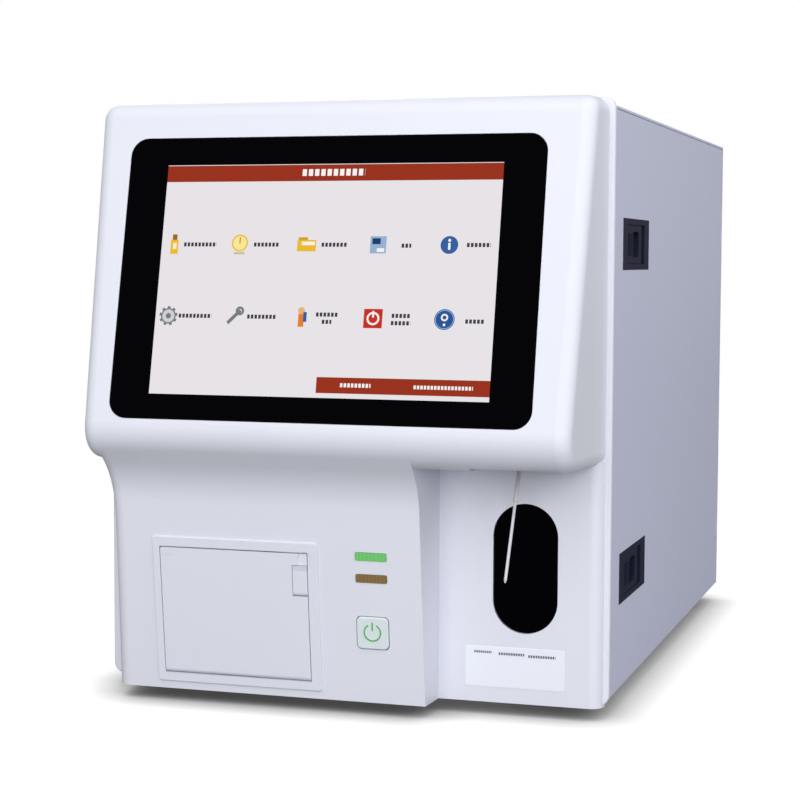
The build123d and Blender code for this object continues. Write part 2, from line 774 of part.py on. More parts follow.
# Lights, power button and their board
def light(up):
    """A lens that shows through the block's face and is kept by a flange behind the wall."""
    plane = block_plane(LIGHT_X, up)
    lens = plate_on(plane, LIGHT_W, LIGHT_H, 0.9, LIGHT_PROUD, WALL + LIGHT_PROUD)
    return lens + plate_on(plane, LIGHT_W + 3, LIGHT_H + 3, 1.5, -WALL, 1.5)


BUTTON = block_plane(LIGHT_X, BUTTON_UP)
KEY_BOARD = block_plane(LIGHT_X, KEY_BOARD_UP)
STEM_END = KEY_BOARD_DEPTH - 3.5 - BUTTON_TRAVEL


def power_button():
    """A round-cornered cap with a keeping flange and a stem to its switch."""
    cap = plate_on(BUTTON, BUTTON_SIZE, BUTTON_SIZE, BUTTON_R, BUTTON_PROUD, BUTTON_PROUD + WALL + 0.2)
    cap = fillet(cap.faces().sort_by(Axis.Y)[0].edges(), 0.8)
    cap += plate_on(BUTTON, BUTTON_SIZE + 3, BUTTON_SIZE + 3, BUTTON_R, -WALL - 0.1, 1.2)
    return cap + BUTTON * Pos(0, 0, -STEM_END) * extrude(Circle(2.5), STEM_END - WALL)


def key_board():
    """The small board behind the lights and the power button, with lamps and a switch."""
    board = plate_on(KEY_BOARD, KEY_BOARD_W, KEY_BOARD_H, 2, -KEY_BOARD_DEPTH, BOARD_T)
    for up in (GREEN_UP, AMBER_UP):
        lamp = Pos(0, 0, -KEY_BOARD_DEPTH) * extrude(Rectangle(6, 4), KEY_BOARD_DEPTH - WALL - 2)
        board += block_plane(LIGHT_X, up) * lamp
    switch = Pos(0, 0, -KEY_BOARD_DEPTH) * extrude(Rectangle(7, 7), 2.2)
    plunger = Pos(0, 0, -KEY_BOARD_DEPTH) * extrude(Circle(1.5), 3.2)
    return board + BUTTON * (switch + plunger)


# Aspirate key
def aspirate_key():
    """The tall start key behind the needle, with a flange and two guide posts."""
    plate = KEY * Pos(0, 0, -KEY_SUNK - KEY_T) * extrude(stadium(KEY_W, KEY_H), KEY_T)
    plate = fillet(plate.faces().sort_by(Axis.Y)[0].edges(), 0.8)
    flange = KEY * Pos(0, 0, -KEY_SUNK - KEY_T) * extrude(stadium(KEY_W + 5, KEY_H + 5), 1.4)
    key = plate + flange
    back = -KEY_SUNK - KEY_T
    for y in (-POST_PITCH, POST_PITCH):
        key += KEY * Pos(0, y, back - POST_L) * extrude(Circle(POST_R), POST_L)
    return key


def key_carrier():
    """A bridge behind the bay wall that guides the key's posts and holds its switch."""
    depth = KEY_SUNK + KEY_T + KEY_TRAVEL + 4
    bridge = KEY * Pos(0, 0, -depth - 3) * extrude(RectangleRounded(KEY_W + 20, KEY_H + 8, 5), 3)
    for x in (-1, 1):
        leg = Pos(x * (KEY_W / 2 + 7.5), 0, -depth) * extrude(Rectangle(3, KEY_H - 8), depth - WALL)
        bridge += KEY * leg
    for y in (-POST_PITCH, POST_PITCH):
        bridge -= KEY * Pos(0, y, -depth - 3) * extrude(Circle(POST_R + FIT), 3)
    return bridge


def aspirate_switch():
    """The snap switch behind the key."""
    depth = KEY_SUNK + KEY_T + KEY_TRAVEL + 4
    body = KEY * Pos(0, 0, -depth) * extrude(Rectangle(10, 20), 3)
    tip = KEY * Pos(0, 4, -depth + 3) * extrude(Circle(1.5), 0.8)
    return body + tip


# Sampling mechanism, drawn with z up along the needle and y towards the back
def probe(shape):
    """Move a piece drawn along the needle into place."""
    return PROBE * shape


def probe_needle():
    """The steel needle with its tip, its outer sleeve and its hub."""
    steel = rod(NEEDLE_R, 0, 0, -NEEDLE_TIP + 2, -SLEEVE_END)
    tip = Pos(0, 0, -NEEDLE_TIP + 1) * Cone(NEEDLE_R / 2, NEEDLE_R, 2)
    sleeve = rod(SLEEVE_R, 0, 0, -SLEEVE_END, CARRIAGE_START)
    top = CARRIAGE_START + CARRIAGE_H
    hub = rod(4, 0, 0, CARRIAGE_START, top + HUB_RISE)
    nipple = rod(1.2, 0, 0, top + HUB_RISE, top + NIPPLE_RISE)
    return probe(steel + tip + sleeve + hub + nipple)


def probe_carriage():
    """The block that carries the needle along the two guide rods."""
    z0 = CARRIAGE_START
    z1 = CARRIAGE_START + CARRIAGE_H
    body = block(-CARRIAGE_W / 2, CARRIAGE_W / 2, -9, ROD_BACK + 8, z0, z1)
    body = fillet(body.edges().filter_by(Axis.Z), 5)
    body -= rod(4 + FIT, 0, 0, z0, z1)
    body -= rod(SCREW_R + FIT, 0, ROD_BACK, z0, z1)
    for x in (-ROD_OFFSET, ROD_OFFSET):
        body -= rod(ROD_R + FIT, x, ROD_BACK, z0, z1)
    return probe(body)


def guide_rods():
    """The two polished rods that the carriage runs on."""
    pair = [rod(ROD_R, x, ROD_BACK, RAIL_START, RAIL_END + PLATE_T) for x in (-ROD_OFFSET, ROD_OFFSET)]
    return probe(Compound(children=pair))


def lift_screw():
    """The lead screw between the rods, with its journals."""
    return probe(rod(SCREW_R, 0, ROD_BACK, RAIL_START, RAIL_END + PLATE_T + 10))


def lift_motor():
    """The stepping motor on the upper plate, with a bore for the screw."""
    z0 = RAIL_END + PLATE_T
    half = MOTOR_SIZE / 2
    body = block(-half, half, ROD_BACK - half, ROD_BACK + half, z0, z0 + MOTOR_H)
    body = chamfer(body.edges().filter_by(Axis.Z), 3)
    body -= rod(SCREW_R + FIT, 0, ROD_BACK, z0, z0 + 12)
    return probe(body)


def probe_bracket():
    """A folded bracket: lower and upper plates, a back plate and an arm to the partition."""
    half = CARRIAGE_W / 2 + 2
    back = ROD_BACK + 10
    sheet = block(-half, half, back, back + PLATE_T, RAIL_START, RAIL_END + PLATE_T)
    lower = block(-half, half, -WIPE_SIZE / 2, back, RAIL_START, RAIL_START + PLATE_T)
    upper = block(-half, half, ROD_BACK - MOTOR_SIZE / 2, back, RAIL_END, RAIL_END + PLATE_T)
    window = block(-half + 10, half - 10, back - 1, back + PLATE_T + 1, RAIL_START + 60, RAIL_END - 60)
    frame = sheet + lower + upper - window
    frame -= rod(SLEEVE_R + 1, 0, 0, RAIL_START - 1, RAIL_START + PLATE_T + 1)
    for z in (RAIL_START, RAIL_END):
        frame -= rod(SCREW_R + FIT, 0, ROD_BACK, z - 1, z + PLATE_T + 1)
        for x in (-ROD_OFFSET, ROD_OFFSET):
            frame -= rod(ROD_R + FIT, x, ROD_BACK, z - 1, z + PLATE_T + 1)
    wall = PARTITION_X + PARTITION_T - KEY_X
    arm = block(wall, -half, back, back + PLATE_T, RAIL_START + 70, RAIL_END - 60)
    foot = block(wall, wall + PLATE_T, back - 10, back + 20, RAIL_START + 70, RAIL_END - 60)
    return probe(frame + arm + foot)


def wipe_block():
    """The rinsing collar round the needle, hung under the lower plate, with two tube nipples."""
    half = WIPE_SIZE / 2
    body = block(-half, half, -half, half, WIPE_START, RAIL_START)
    body = chamfer(body.edges().filter_by(Axis.Z), 2)
    body -= rod(SLEEVE_R + FIT, 0, 0, WIPE_START - 1, RAIL_START + 1)
    for x in (-1, 1):
        z = WIPE_START + 6 if x < 0 else RAIL_START - 5
        body += Pos(x * (half + 4), 0, z) * Rot(0, 90, 0) * Cylinder(1.5, 8)
    return probe(body)


# Cabinet
def front_frame():
    """The folded frame that the front panel screws to, with the keepers of the latches."""
    half = SIDE - SHEET - SEAM
    z0 = FLOOR + SHEET
    z1 = ROOF - SHEET
    ring = block(-half, half, 0, SHEET, z0, z1)
    ring -= block(-half + LIP, half - LIP, -1, 2 * SHEET, z0 + LIP, z1 - LIP)
    span = PRINTER_W / 2 + 2
    ring -= block(PRINTER_X - span, PRINTER_X + span, -1, 2 * SHEET, FLOOR, z0 + 2 * LIP)
    for up in LATCH_UPS:
        z = PANEL_BOTTOM + up
        ring += block(KEEPER_X - SHEET, KEEPER_X, SHEET, KEEPER_Y, z - 10, z + 10)
    return ring


def base_tray():
    """The folded floor of the cabinet, with turned-up edges and holes for the feet."""
    right = SIDE - SHEET - SEAM
    left = -SIDE + SHEET
    back = CABINET_D - SHEET
    tray = block(left, right, 0, back, FLOOR, FLOOR + SHEET)
    tray += block(left, left + SHEET, SHEET, back, FLOOR, FLOOR + LIP)
    tray += block(right - SHEET, right, SHEET, back, FLOOR, FLOOR + LIP - 4)
    tray -= block(HINGE_X - 6, SIDE, HINGE_Y - 2, CABINET_D, FLOOR - 1, FLOOR + LIP)
    for x, y in foot_places():
        tray -= rod(2.2 + FIT, x, y, FLOOR - 1, FLOOR + 2 * SHEET)
    for i in range(TRAY_SLOTS):
        x = left + TRAY_SLOT_INSET + i * TRAY_SLOT_PITCH
        y = TRAY_SLOT_Y
        tray -= block(x, x + TRAY_SLOT_W, y, y + TRAY_SLOT_L, FLOOR - 1, FLOOR + 2 * SHEET)
    return tray


def foot_places():
    """Where the four feet stand under the tray."""
    x = SIDE - FOOT_INSET
    return [(-x, FOOT_INSET), (x, FOOT_INSET), (-x, CABINET_D - FOOT_INSET), (x, CABINET_D - FOOT_INSET)]


def feet():
    """Four rubber feet with their screws through the tray."""
    solids = []
    for x, y in foot_places():
        foot = Pos(x, y, FLOOR / 2) * Cone(FOOT_R - 1.5, FOOT_R, FLOOR)
        foot += rod(2.2, x, y, FLOOR, FLOOR + SHEET)
        foot += rod(4, x, y, FLOOR + SHEET, FLOOR + SHEET + 2)
        solids.append(foot)
    return Compound(children=solids)


def slots(x0, x1, count, along, z, height, width):
    """Evenly spaced upright slots between two places, as cutters through a sheet."""
    step = (along[1] - along[0]) / count
    starts = [along[0] + i * step for i in range(count)]
    return [block(x0, x1, y, y + width, z, z + height) for y in starts]


def left_side_panel():
    """The fixed left side with its air slots and folded edges."""
    x0 = -SIDE
    z1 = ROOF - SHEET
    sheet = block(x0, x0 + SHEET, 0, CABINET_D - SHEET, FLOOR, z1)
    sheet += block(x0 + SHEET, x0 + LIP, SHEET, CABINET_D - SHEET, z1 - SHEET, z1)
    along = (CABINET_D - SIDE_SLOT_FAR, CABINET_D - SIDE_SLOT_NEAR)
    for up in SIDE_SLOT_UPS:
        z = FLOOR + up
        for cut in slots(x0 - 1, x0 + 2 * SHEET, SIDE_SLOTS, along, z, SIDE_SLOT_H, SIDE_SLOT_W):
            sheet -= cut
    return sheet


def top_cover():
    """The roof sheet with lips down both sides."""
    roof = block(-SIDE, SIDE, 0, CABINET_D, ROOF - SHEET, ROOF)
    inset = SIDE - LIP - 2
    for x in (-inset, inset - SHEET):
        roof += block(x, x + SHEET, SHEET, CABINET_D - SHEET, ROOF - LIP, ROOF - SHEET)
    return roof


def partition():
    """The upright plate between electronics and fluidics, with flanges and board posts."""
    x0 = PARTITION_X
    z0 = FLOOR + SHEET
    z1 = ROOF - SHEET
    back = CABINET_D - SHEET
    plate = block(x0, x0 + PARTITION_T, PARTITION_START, back, z0, z1)
    plate += block(x0 - LIP, x0, PARTITION_START, back, z0, z0 + PARTITION_T)
    plate += block(x0 - LIP, x0, PARTITION_START, back, z1 - PARTITION_T, z1)
    plate -= block(x0 - 1, x0 + 3, 120, 160, z0 + 120, z0 + 150)
    for y, z in main_board_posts():
        plate += rod_x(3, y, z, x0 - STANDOFF, x0)
    return plate


def main_board_posts():
    """Where the main board stands on the partition."""
    y0, y1 = MAIN_BOARD_Y
    z0, z1 = MAIN_BOARD_Z
    return [(y0 + 6, z0 + 6), (y0 + 6, z1 - 6), (y1 - 6, z0 + 6), (y1 - 6, z1 - 6)]


def main_board():
    """The main board with its chips, connectors and shielded amplifier."""
    x1 = PARTITION_X - STANDOFF
    x0 = x1 - BOARD_T
    y0, y1 = MAIN_BOARD_Y
    z0, z1 = MAIN_BOARD_Z
    board = block(x0, x1, y0, y1, z0, z1)
    for y, z, wide, high, tall in (
        (20, 30, 60, 50, 12),
        (110, 40, 28, 28, 2.5),
        (160, 40, 20, 14, 2),
        (110, 100, 24, 34, 2),
        (60, 120, 36, 36, 3),
        (150, 100, 40, 20, 8),
        (20, 170, 8, 24, 10),
        (60, 176, 60, 8, 9),
        (150, 176, 50, 8, 9),
    ):
        board += block(x0 - tall, x0, y0 + y, y0 + y + wide, z0 + z, z0 + z + high)
    return board


def power_supply():
    """The enclosed supply with a ribbed, slotted cover."""
    x0 = -SIDE + SUPPLY_INSET
    x1 = x0 + SUPPLY_W
    y1 = CABINET_D - INLET_DEPTH - SUPPLY_GAP
    y0 = y1 - SUPPLY_L
    z0 = FLOOR + SHEET
    case = block(x0, x1, y0, y1, z0, z0 + SUPPLY_H)
    case = fillet(case.edges().filter_by(Axis.Y).sort_by(Axis.Z)[-2:], 3)
    step = (SUPPLY_L - 2 * SUPPLY_SLOT_EDGE) / SUPPLY_SLOTS
    for i in range(SUPPLY_SLOTS):
        y = y0 + SUPPLY_SLOT_EDGE + i * step
        case -= block(x0 + 14, x1 - 14, y, y + SUPPLY_SLOT_W, z0 + SUPPLY_H - 3, z0 + SUPPLY_H + 1)
    return case


def rear_panel():
    """The rear sheet with cut-outs, air slots, lips and the fixed hinge leaves."""
    y0 = CABINET_D - SHEET
    z1 = ROOF - SHEET
    sheet = block(-SIDE, SIDE, y0, CABINET_D, FLOOR, z1)
    fan_z = PANEL_BOTTOM + FAN_UP
    sheet -= rod_y(FAN_SIZE / 2 - FAN_LIP, FAN_X, fan_z, y0 - 1, CABINET_D + 1)
    for x, up, wide, high in (
        (INLET_X, INLET_UP, INLET_W, INLET_H),
        (PORT_X, PORT_UP, 4 * PORT_PITCH - 4, PORT_H),
        (SOCKET_X, SOCKET_UP, SOCKET_W, SOCKET_H),
    ):
        z = PANEL_BOTTOM + up
        sheet -= block(x - wide / 2, x + wide / 2, y0 - 1, CABINET_D + 1, z - high / 2, z + high / 2)
    for i in range(REAR_SLOTS):
        z = FLOOR + REAR_SLOT_UP + i * REAR_SLOT_PITCH
        sheet -= block(REAR_SLOT_X[0], REAR_SLOT_X[1], y0 - 1, CABINET_D + 1, z, z + REAR_SLOT_H)
    for x, z in cover_screw_places():
        sheet -= rod_y(SCREW_SHANK_R + FIT, x, z, y0 - 1, CABINET_D + 1)
    for up in HINGE_UPS:
        sheet += hinge_leaf(PANEL_BOTTOM + up)
    return sheet


def cover_screw_places():
    """Where the screws go through the rear panel, in X and Z."""
    return [(x, z) for x in (-SIDE + 20, 0, SIDE - 20) for z in (FLOOR + 6, ROOF - 9)]


HINGE_X = SIDE - HINGE_IN
HINGE_Y = CABINET_D - HINGE_BACK


def hinge_leaf(z):
    """One welded leaf on the rear panel's inner face: lower knuckle, arm and plate."""
    y1 = CABINET_D - SHEET
    leaf = rod(KNUCKLE_R, HINGE_X, HINGE_Y, z - KNUCKLE_L, z)
    leaf += block(HINGE_X - KNUCKLE_R, HINGE_X, HINGE_Y, y1, z - KNUCKLE_L, z)
    leaf += block(HINGE_X - 20, HINGE_X, y1 - SHEET, y1, z - KNUCKLE_L, z)
    return leaf - rod(HINGE_PIN_R, HINGE_X, HINGE_Y, z - KNUCKLE_L - 1, z + 1)


def hinge_pins():
    """The two hinge pins with their heads."""
    pins = []
    for up in HINGE_UPS:
        z = PANEL_BOTTOM + up
        pin = rod(HINGE_PIN_R, HINGE_X, HINGE_Y, z - KNUCKLE_L, z + KNUCKLE_L + 1)
        pin += rod(2 * HINGE_PIN_R, HINGE_X, HINGE_Y, z + KNUCKLE_L + 0.6, z + KNUCKLE_L + 2)
        pins.append(pin)
    return Compound(children=pins)


def right_side_door():
    """The plain service door: sheet, lips, latch windows and hinge knuckles."""
    z0 = FLOOR + SEAM
    z1 = ROOF - SHEET - SEAM
    y1 = HINGE_Y + SHEET
    door = block(SIDE - SHEET, SIDE, SEAM, y1, z0, z1)
    lip_x = SIDE - SHEET - DOOR_LIP
    for z in (FLOOR + LIP + SEAM, z1 - SHEET):
        door += block(lip_x, SIDE - SHEET, LIP, y1 - LIP, z, z + SHEET)
    for up in LATCH_UPS:
        z = PANEL_BOTTOM + up
        half = LATCH_H / 2
        door -= block(SIDE - 2 * SHEET, SIDE + 1, LATCH_FRONT, LATCH_FRONT + LATCH_L, z - half, z + half)
    for up in HINGE_UPS:
        z = PANEL_BOTTOM + up
        door -= block(HINGE_X, SIDE + 1, HINGE_Y - KNUCKLE_R - 1, y1 + 1, z - KNUCKLE_L - 1, z + 0.15)
        door += rod(KNUCKLE_R, HINGE_X, HINGE_Y, z + 0.3, z + KNUCKLE_L + 0.3)
        door += block(HINGE_X, SIDE - SHEET, HINGE_Y - KNUCKLE_R, HINGE_Y, z + 0.3, z + KNUCKLE_L + 0.3)
        door -= rod(HINGE_PIN_R + FIT, HINGE_X, HINGE_Y, z, z + KNUCKLE_L + 1)
    return door


SLIDE_Y = LATCH_FRONT + SLIDE_START
KEEPER_X = SIDE - KEEPER_IN


def latch_housings():
    """Two flush latch trays in the door, with a flange behind the sheet and a bolt slot."""
    trays = []
    for up in LATCH_UPS:
        z = PANEL_BOTTOM + up
        half = LATCH_H / 2
        y0 = LATCH_FRONT
        y1 = LATCH_FRONT + LATCH_L
        tray = block(SIDE - LATCH_T, SIDE, y0, y1, z - half, z + half)
        tray += block(SIDE - 2 * SHEET, SIDE - SHEET, y0 - 3, y1 + 3, z - half - 3, z + half + 3)
        pocket_y1 = SLIDE_Y + SLIDE_L + SLIDE_TRAVEL + 0.5
        pocket = SLIDE_H / 2 + SLIDE_GAP
        x0 = SIDE - LATCH_T + 1.5
        tray -= block(x0, SIDE + 1, SLIDE_Y - SLIDE_GAP, pocket_y1, z - pocket, z + pocket)
        slot = BOLT_H / 2 + SLIDE_GAP
        x0 = SIDE - BOLT_OUT - BOLT_T - 0.2
        tray -= block(x0, SIDE - BOLT_OUT + 0.2, y0 - 4, SLIDE_Y + 1, z - slot, z + slot)
        trays.append(tray)
    return Compound(children=trays)


def latch_slide(up):
    """The thumb slide with its finger hollow and the bolt that it draws back."""
    z = PANEL_BOTTOM + up
    out = SIDE - 0.5
    slide = block(out - 6.5, out, SLIDE_Y, SLIDE_Y + SLIDE_L, z - SLIDE_H / 2, z + SLIDE_H / 2)
    hollow = Pos(out, SLIDE_Y + 0.62 * SLIDE_L, z) * Rot(0, 90, 0) * RectangleRounded(SLIDE_H - 8, 20, 3)
    slide -= extrude(hollow, -3)
    for i in range(4):
        y = SLIDE_Y + 5 + i * 4
        slide += block(out, out + 0.4, y, y + 1.5, z - 7, z + 7)
    half = BOLT_H / 2
    bolt = block(SIDE - BOLT_OUT - BOLT_T, SIDE - BOLT_OUT, KEEPER_Y + 0.5, SLIDE_Y, z - half, z + half)
    return slide + bolt


def cover_screws():
    """The screws that hold the roof and the rear panel: one group of equal pan heads."""
    screws = []
    for x, z in cover_screw_places():
        screw = rod_y(SCREW_HEAD_R, x, z, CABINET_D, CABINET_D + 1.6)
        screw += rod_y(SCREW_SHANK_R, x, z, CABINET_D - 5, CABINET_D)
        screws.append(screw)
    return Compound(children=screws)


# Fluidics behind the right door
def bath_bracket():
    """A folded shelf on the partition with a seat for each bath."""
    x0 = PARTITION_X + PARTITION_T
    shelf_z = PANEL_BOTTOM + BATH_UP + BATH_H - 8
    y0 = BATH_YS[0] - BATH_R - 8
    y1 = BATH_YS[1] + BATH_R + 8
    x1 = x0 + BATH_OUT + BATH_R + 6
    wall = block(x0, x0 + PLATE_T, y0, y1, shelf_z - 40, shelf_z + PLATE_T)
    shelf = block(x0, x1, y0, y1, shelf_z, shelf_z + PLATE_T)
    apron = block(x1 - PLATE_T, x1, y0, y1, shelf_z - 8, shelf_z)
    bracket = wall + shelf + apron
    for y in BATH_YS:
        bracket -= rod(BATH_R + FIT, x0 + BATH_OUT, y, shelf_z - 1, shelf_z + PLATE_T + 1)
    return bracket


def bath(y):
    """One counting bath: a round cup with a cone below, a seat rim and an electrode block."""
    x = PARTITION_X + PARTITION_T + BATH_OUT
    z0 = PANEL_BOTTOM + BATH_UP
    rim = z0 + BATH_H - 8 + PLATE_T
    top = z0 + BATH_H + 6
    outer = make_face(
        Polyline(
            (0, z0 - 10),
            (3, z0 - 10),
            (3, z0),
            (BATH_R, z0 + 12),
            (BATH_R, rim),
            (BATH_R + 3, rim),
            (BATH_R + 3, rim + 2),
            (BATH_R, rim + 2),
            (BATH_R, top),
            (0, top),
            close=True,
        )
    )
    r = BATH_R - BATH_WALL
    inner = make_face(
        Polyline(
            (0, z0 - 11),
            (1.5, z0 - 11),
            (1.5, z0 + 2),
            (r, z0 + 13),
            (r, top + 1),
            (0, top + 1),
            close=True,
        )
    )
    profile = Plane.XZ * (outer - inner)
    cup = revolve(profile, Axis.Z)
    side = block(BATH_R - 1, BATH_R + 9, -5, 5, z0 + 14, z0 + 28)
    return Pos(x, y, 0) * (cup + side)


SYRINGE_X = PARTITION_X + PARTITION_T + 26
MOTOR_TOP = PANEL_BOTTOM + SYRINGE_UP + 34


def syringe_places():
    """Centre of each syringe, with its inner radius."""
    return [(SYRINGE_Y + i * SYRINGE_PITCH, r) for i, r in enumerate(BARREL_RS)]


def syringe_frame():
    """The plate on the partition with a motor shelf, a barrel shelf and a top clamp."""
    x0 = PARTITION_X + PARTITION_T
    x1 = SYRINGE_X + MOTOR_SIZE / 2
    y0 = SYRINGE_Y - MOTOR_SIZE / 2
    y1 = SYRINGE_Y + SYRINGE_PITCH + MOTOR_SIZE / 2
    barrel_z = MOTOR_TOP + PLUNGER_TRAVEL
    top = barrel_z + PLATE_T + BARREL_L
    frame = block(x0, x0 + 3, y0, y1, MOTOR_TOP - MOTOR_H, top + PLATE_T)
    for z in (MOTOR_TOP, barrel_z, top):
        frame += block(x0, x1, y0, y1, z, z + PLATE_T)
    for y, r in syringe_places():
        frame -= rod(4, SYRINGE_X, y, MOTOR_TOP - 1, MOTOR_TOP + PLATE_T + 1)
        frame -= rod(4, SYRINGE_X, y, barrel_z - 1, barrel_z + PLATE_T + 1)
        frame -= rod(3 + FIT, SYRINGE_X, y, top - 1, top + PLATE_T + 1)
    return frame


def syringe_motors():
    """Two linear stepping motors that draw the plunger rods through themselves."""
    half = MOTOR_SIZE / 2 - 0.5
    motors = []
    for y, r in syringe_places():
        x0 = SYRINGE_X - half
        body = block(x0, x0 + 2 * half, y - half, y + half, MOTOR_TOP - MOTOR_H, MOTOR_TOP)
        body = chamfer(body.edges().filter_by(Axis.Z), 3)
        body -= rod(3 + FIT, SYRINGE_X, y, MOTOR_TOP - MOTOR_H - 1, MOTOR_TOP + 1)
        motors.append(body)
    return Compound(children=motors)


def syringe_barrels():
    """Two glass barrels of unequal bore, closed above round a tube nipple."""
    z0 = MOTOR_TOP + PLUNGER_TRAVEL + PLATE_T
    z1 = z0 + BARREL_L
    barrels = []
    for y, r in syringe_places():
        tube = rod(r + BARREL_WALL, SYRINGE_X, y, z0, z1) - rod(r, SYRINGE_X, y, z0 - 1, z1 - 4)
        tube += rod(3, SYRINGE_X, y, z1, z1 + 8)
        barrels.append(tube - rod(1, SYRINGE_X, y, z1 - 5, z1 + 9))
    return Compound(children=barrels)


def plunger(index):
    """One plunger: seal head, groove and the rod that runs through its motor."""
    y, r = syringe_places()[index]
    z1 = MOTOR_TOP + PLUNGER_TRAVEL + PLATE_T + BARREL_L - 5
    head = rod(r - FIT, SYRINGE_X, y, z1 - 8, z1)
    groove = rod(r, SYRINGE_X, y, z1 - 5, z1 - 3) - rod(r - 1, SYRINGE_X, y, z1 - 5, z1 - 3)
    return head - groove + rod(3, SYRINGE_X, y, MOTOR_TOP - MOTOR_H / 2, z1 - 8)


def valve_places():
    """Centre of each solenoid valve."""
    ys = [VALVE_START + i * VALVE_PITCH for i in range(VALVE_COLUMNS)]
    return [(y, PANEL_BOTTOM + up) for up in VALVE_UPS for y in ys]


def valve_manifold():
    """The drilled block that joins the valves, with tube nipples on top."""
    x0 = PARTITION_X + PARTITION_T
    y0 = VALVE_START - VALVE_PITCH / 2
    y1 = VALVE_START + (VALVE_COLUMNS - 0.5) * VALVE_PITCH
    z0 = PANEL_BOTTOM + VALVE_UPS[0] - VALVE_EDGE
    z1 = PANEL_BOTTOM + VALVE_UPS[1] + VALVE_EDGE
    body = block(x0, x0 + MANIFOLD_T, y0, y1, z0, z1)
    body = chamfer(body.edges().filter_by(Axis.Y), 2)
    for i in range(VALVE_COLUMNS):
        y = VALVE_START + i * VALVE_PITCH
        body += rod(2, x0 + MANIFOLD_T / 2, y, z0 - 8, z0)
    return body


def solenoid_valves():
    """The equal solenoid valves: square flange, round coil and end nut."""
    x0 = PARTITION_X + PARTITION_T + MANIFOLD_T
    valves = []
    for y, z in valve_places():
        valve = block(x0, x0 + 6, y - 13, y + 13, z - 13, z + 13)
        valve += rod_x(10.5, y, z, x0 + 6, x0 + 34)
        valve += rod_x(5, y, z, x0 + 34, x0 + 38)
        valves.append(valve)
    return Compound(children=valves)


def vacuum_chamber():
    """The pressure vessel with its domed lid, clamp ring and nipples, standing on the tray."""
    z0 = FLOOR + SHEET
    x = PARTITION_X + PARTITION_T + CHAMBER_R + 6
    r = CHAMBER_R
    profile = Plane.XZ * make_face(
        Polyline(
            (0, 0),
            (r, 0),
            (r, CHAMBER_H - 14),
            (r + 3, CHAMBER_H - 14),
            (r + 3, CHAMBER_H - 6),
            (r - 2, CHAMBER_H - 4),
            (r - 12, CHAMBER_H),
            (0, CHAMBER_H),
            close=True,
        )
    )
    vessel = revolve(profile, Axis.Z)
    for dx, dy in ((-8, -8), (8, -8), (0, 9)):
        vessel += rod(2.5, dx, dy, CHAMBER_H, CHAMBER_H + 10)
    return Pos(x, CHAMBER_Y, z0) * vessel


PUMP_Z = PANEL_BOTTOM + PUMP_UP


def pump_body():
    """The peristaltic pump's motor, back plate and horseshoe track."""
    x0 = PARTITION_X + PARTITION_T
    x1 = x0 + PUMP_T
    half = PUMP_R + 6
    body = block(x0, x1, PUMP_Y - half, PUMP_Y + half, PUMP_Z - half, PUMP_Z + half)
    body = fillet(body.edges().filter_by(Axis.X), 8)
    body -= rod_x(PUMP_R, PUMP_Y, PUMP_Z, x0 + 14, x1 + 1)
    body -= block(x0 + 14, x1 + 1, PUMP_Y - PUMP_R, PUMP_Y + PUMP_R, PUMP_Z - PUMP_R - 7, PUMP_Z)
    return body - rod_x(PUMP_SHAFT_R + FIT, PUMP_Y, PUMP_Z, x0 + 5, x0 + 15)


def pump_rotor():
    """The rotor with its shaft, two plates and four tube rollers."""
    x0 = PARTITION_X + PARTITION_T
    near = x0 + 15
    far = x0 + PUMP_T - 3
    reach = PUMP_R - 12
    rotor = rod_x(PUMP_SHAFT_R, PUMP_Y, PUMP_Z, x0 + 6, near)
    for x in (near, far - 2):
        rotor += rod_x(reach + 5, PUMP_Y, PUMP_Z, x, x + 2)
    rotor += rod_x(7, PUMP_Y, PUMP_Z, near, far)
    for i in range(4):
        turn = math.radians(45 + 90 * i)
        y = PUMP_Y + reach * math.cos(turn)
        rotor += rod_x(6, y, PUMP_Z + reach * math.sin(turn), near + 2, far - 2)
    return rotor


# Rear fittings
FAN_Z = PANEL_BOTTOM + FAN_UP
FAN_BACK = CABINET_D - SHEET


def fan_housing():
    """The square fan frame with its motor stator on four struts."""
    half = FAN_SIZE / 2
    frame = block(FAN_X - half, FAN_X + half, FAN_BACK - FAN_T, FAN_BACK, FAN_Z - half, FAN_Z + half)
    frame = fillet(frame.edges().filter_by(Axis.Y), 4)
    frame -= rod_y(half - FAN_LIP, FAN_X, FAN_Z, FAN_BACK - FAN_T - 1, FAN_BACK + 1)
    frame += rod_y(FAN_HUB_R, FAN_X, FAN_Z, FAN_BACK - FAN_T, FAN_BACK - FAN_T + 4)
    for turn in (45, 135, 225, 315):
        strut = block(FAN_HUB_R - 1, half - 1, FAN_BACK - FAN_T, FAN_BACK - FAN_T + 3, -2, 2)
        frame += Pos(FAN_X, 0, FAN_Z) * Rot(0, turn, 0) * strut
    return frame - rod_y(2 + FIT, FAN_X, FAN_Z, FAN_BACK - FAN_T - 1, FAN_BACK - FAN_T + 5)


def fan_rotor():
    """The fan's hub and pitched blades on its shaft."""
    y0 = FAN_BACK - FAN_T + 5
    y1 = FAN_BACK - 3
    rotor = rod_y(FAN_HUB_R, FAN_X, FAN_Z, y0, y1)
    rotor += rod_y(2, FAN_X, FAN_Z, y0 - 4, y0)
    reach = FAN_SIZE / 2 - 3.5
    for i in range(7):
        blade = Rot(40, 0, 0) * Box(reach - FAN_HUB_R + 2, 20, 1.4)
        blade = Pos((reach + FAN_HUB_R) / 2 - 1, 0, 0) * blade
        rotor += Pos(FAN_X, (y0 + y1) / 2, FAN_Z) * Rot(0, i * 360 / 7, 0) * blade
    return rotor


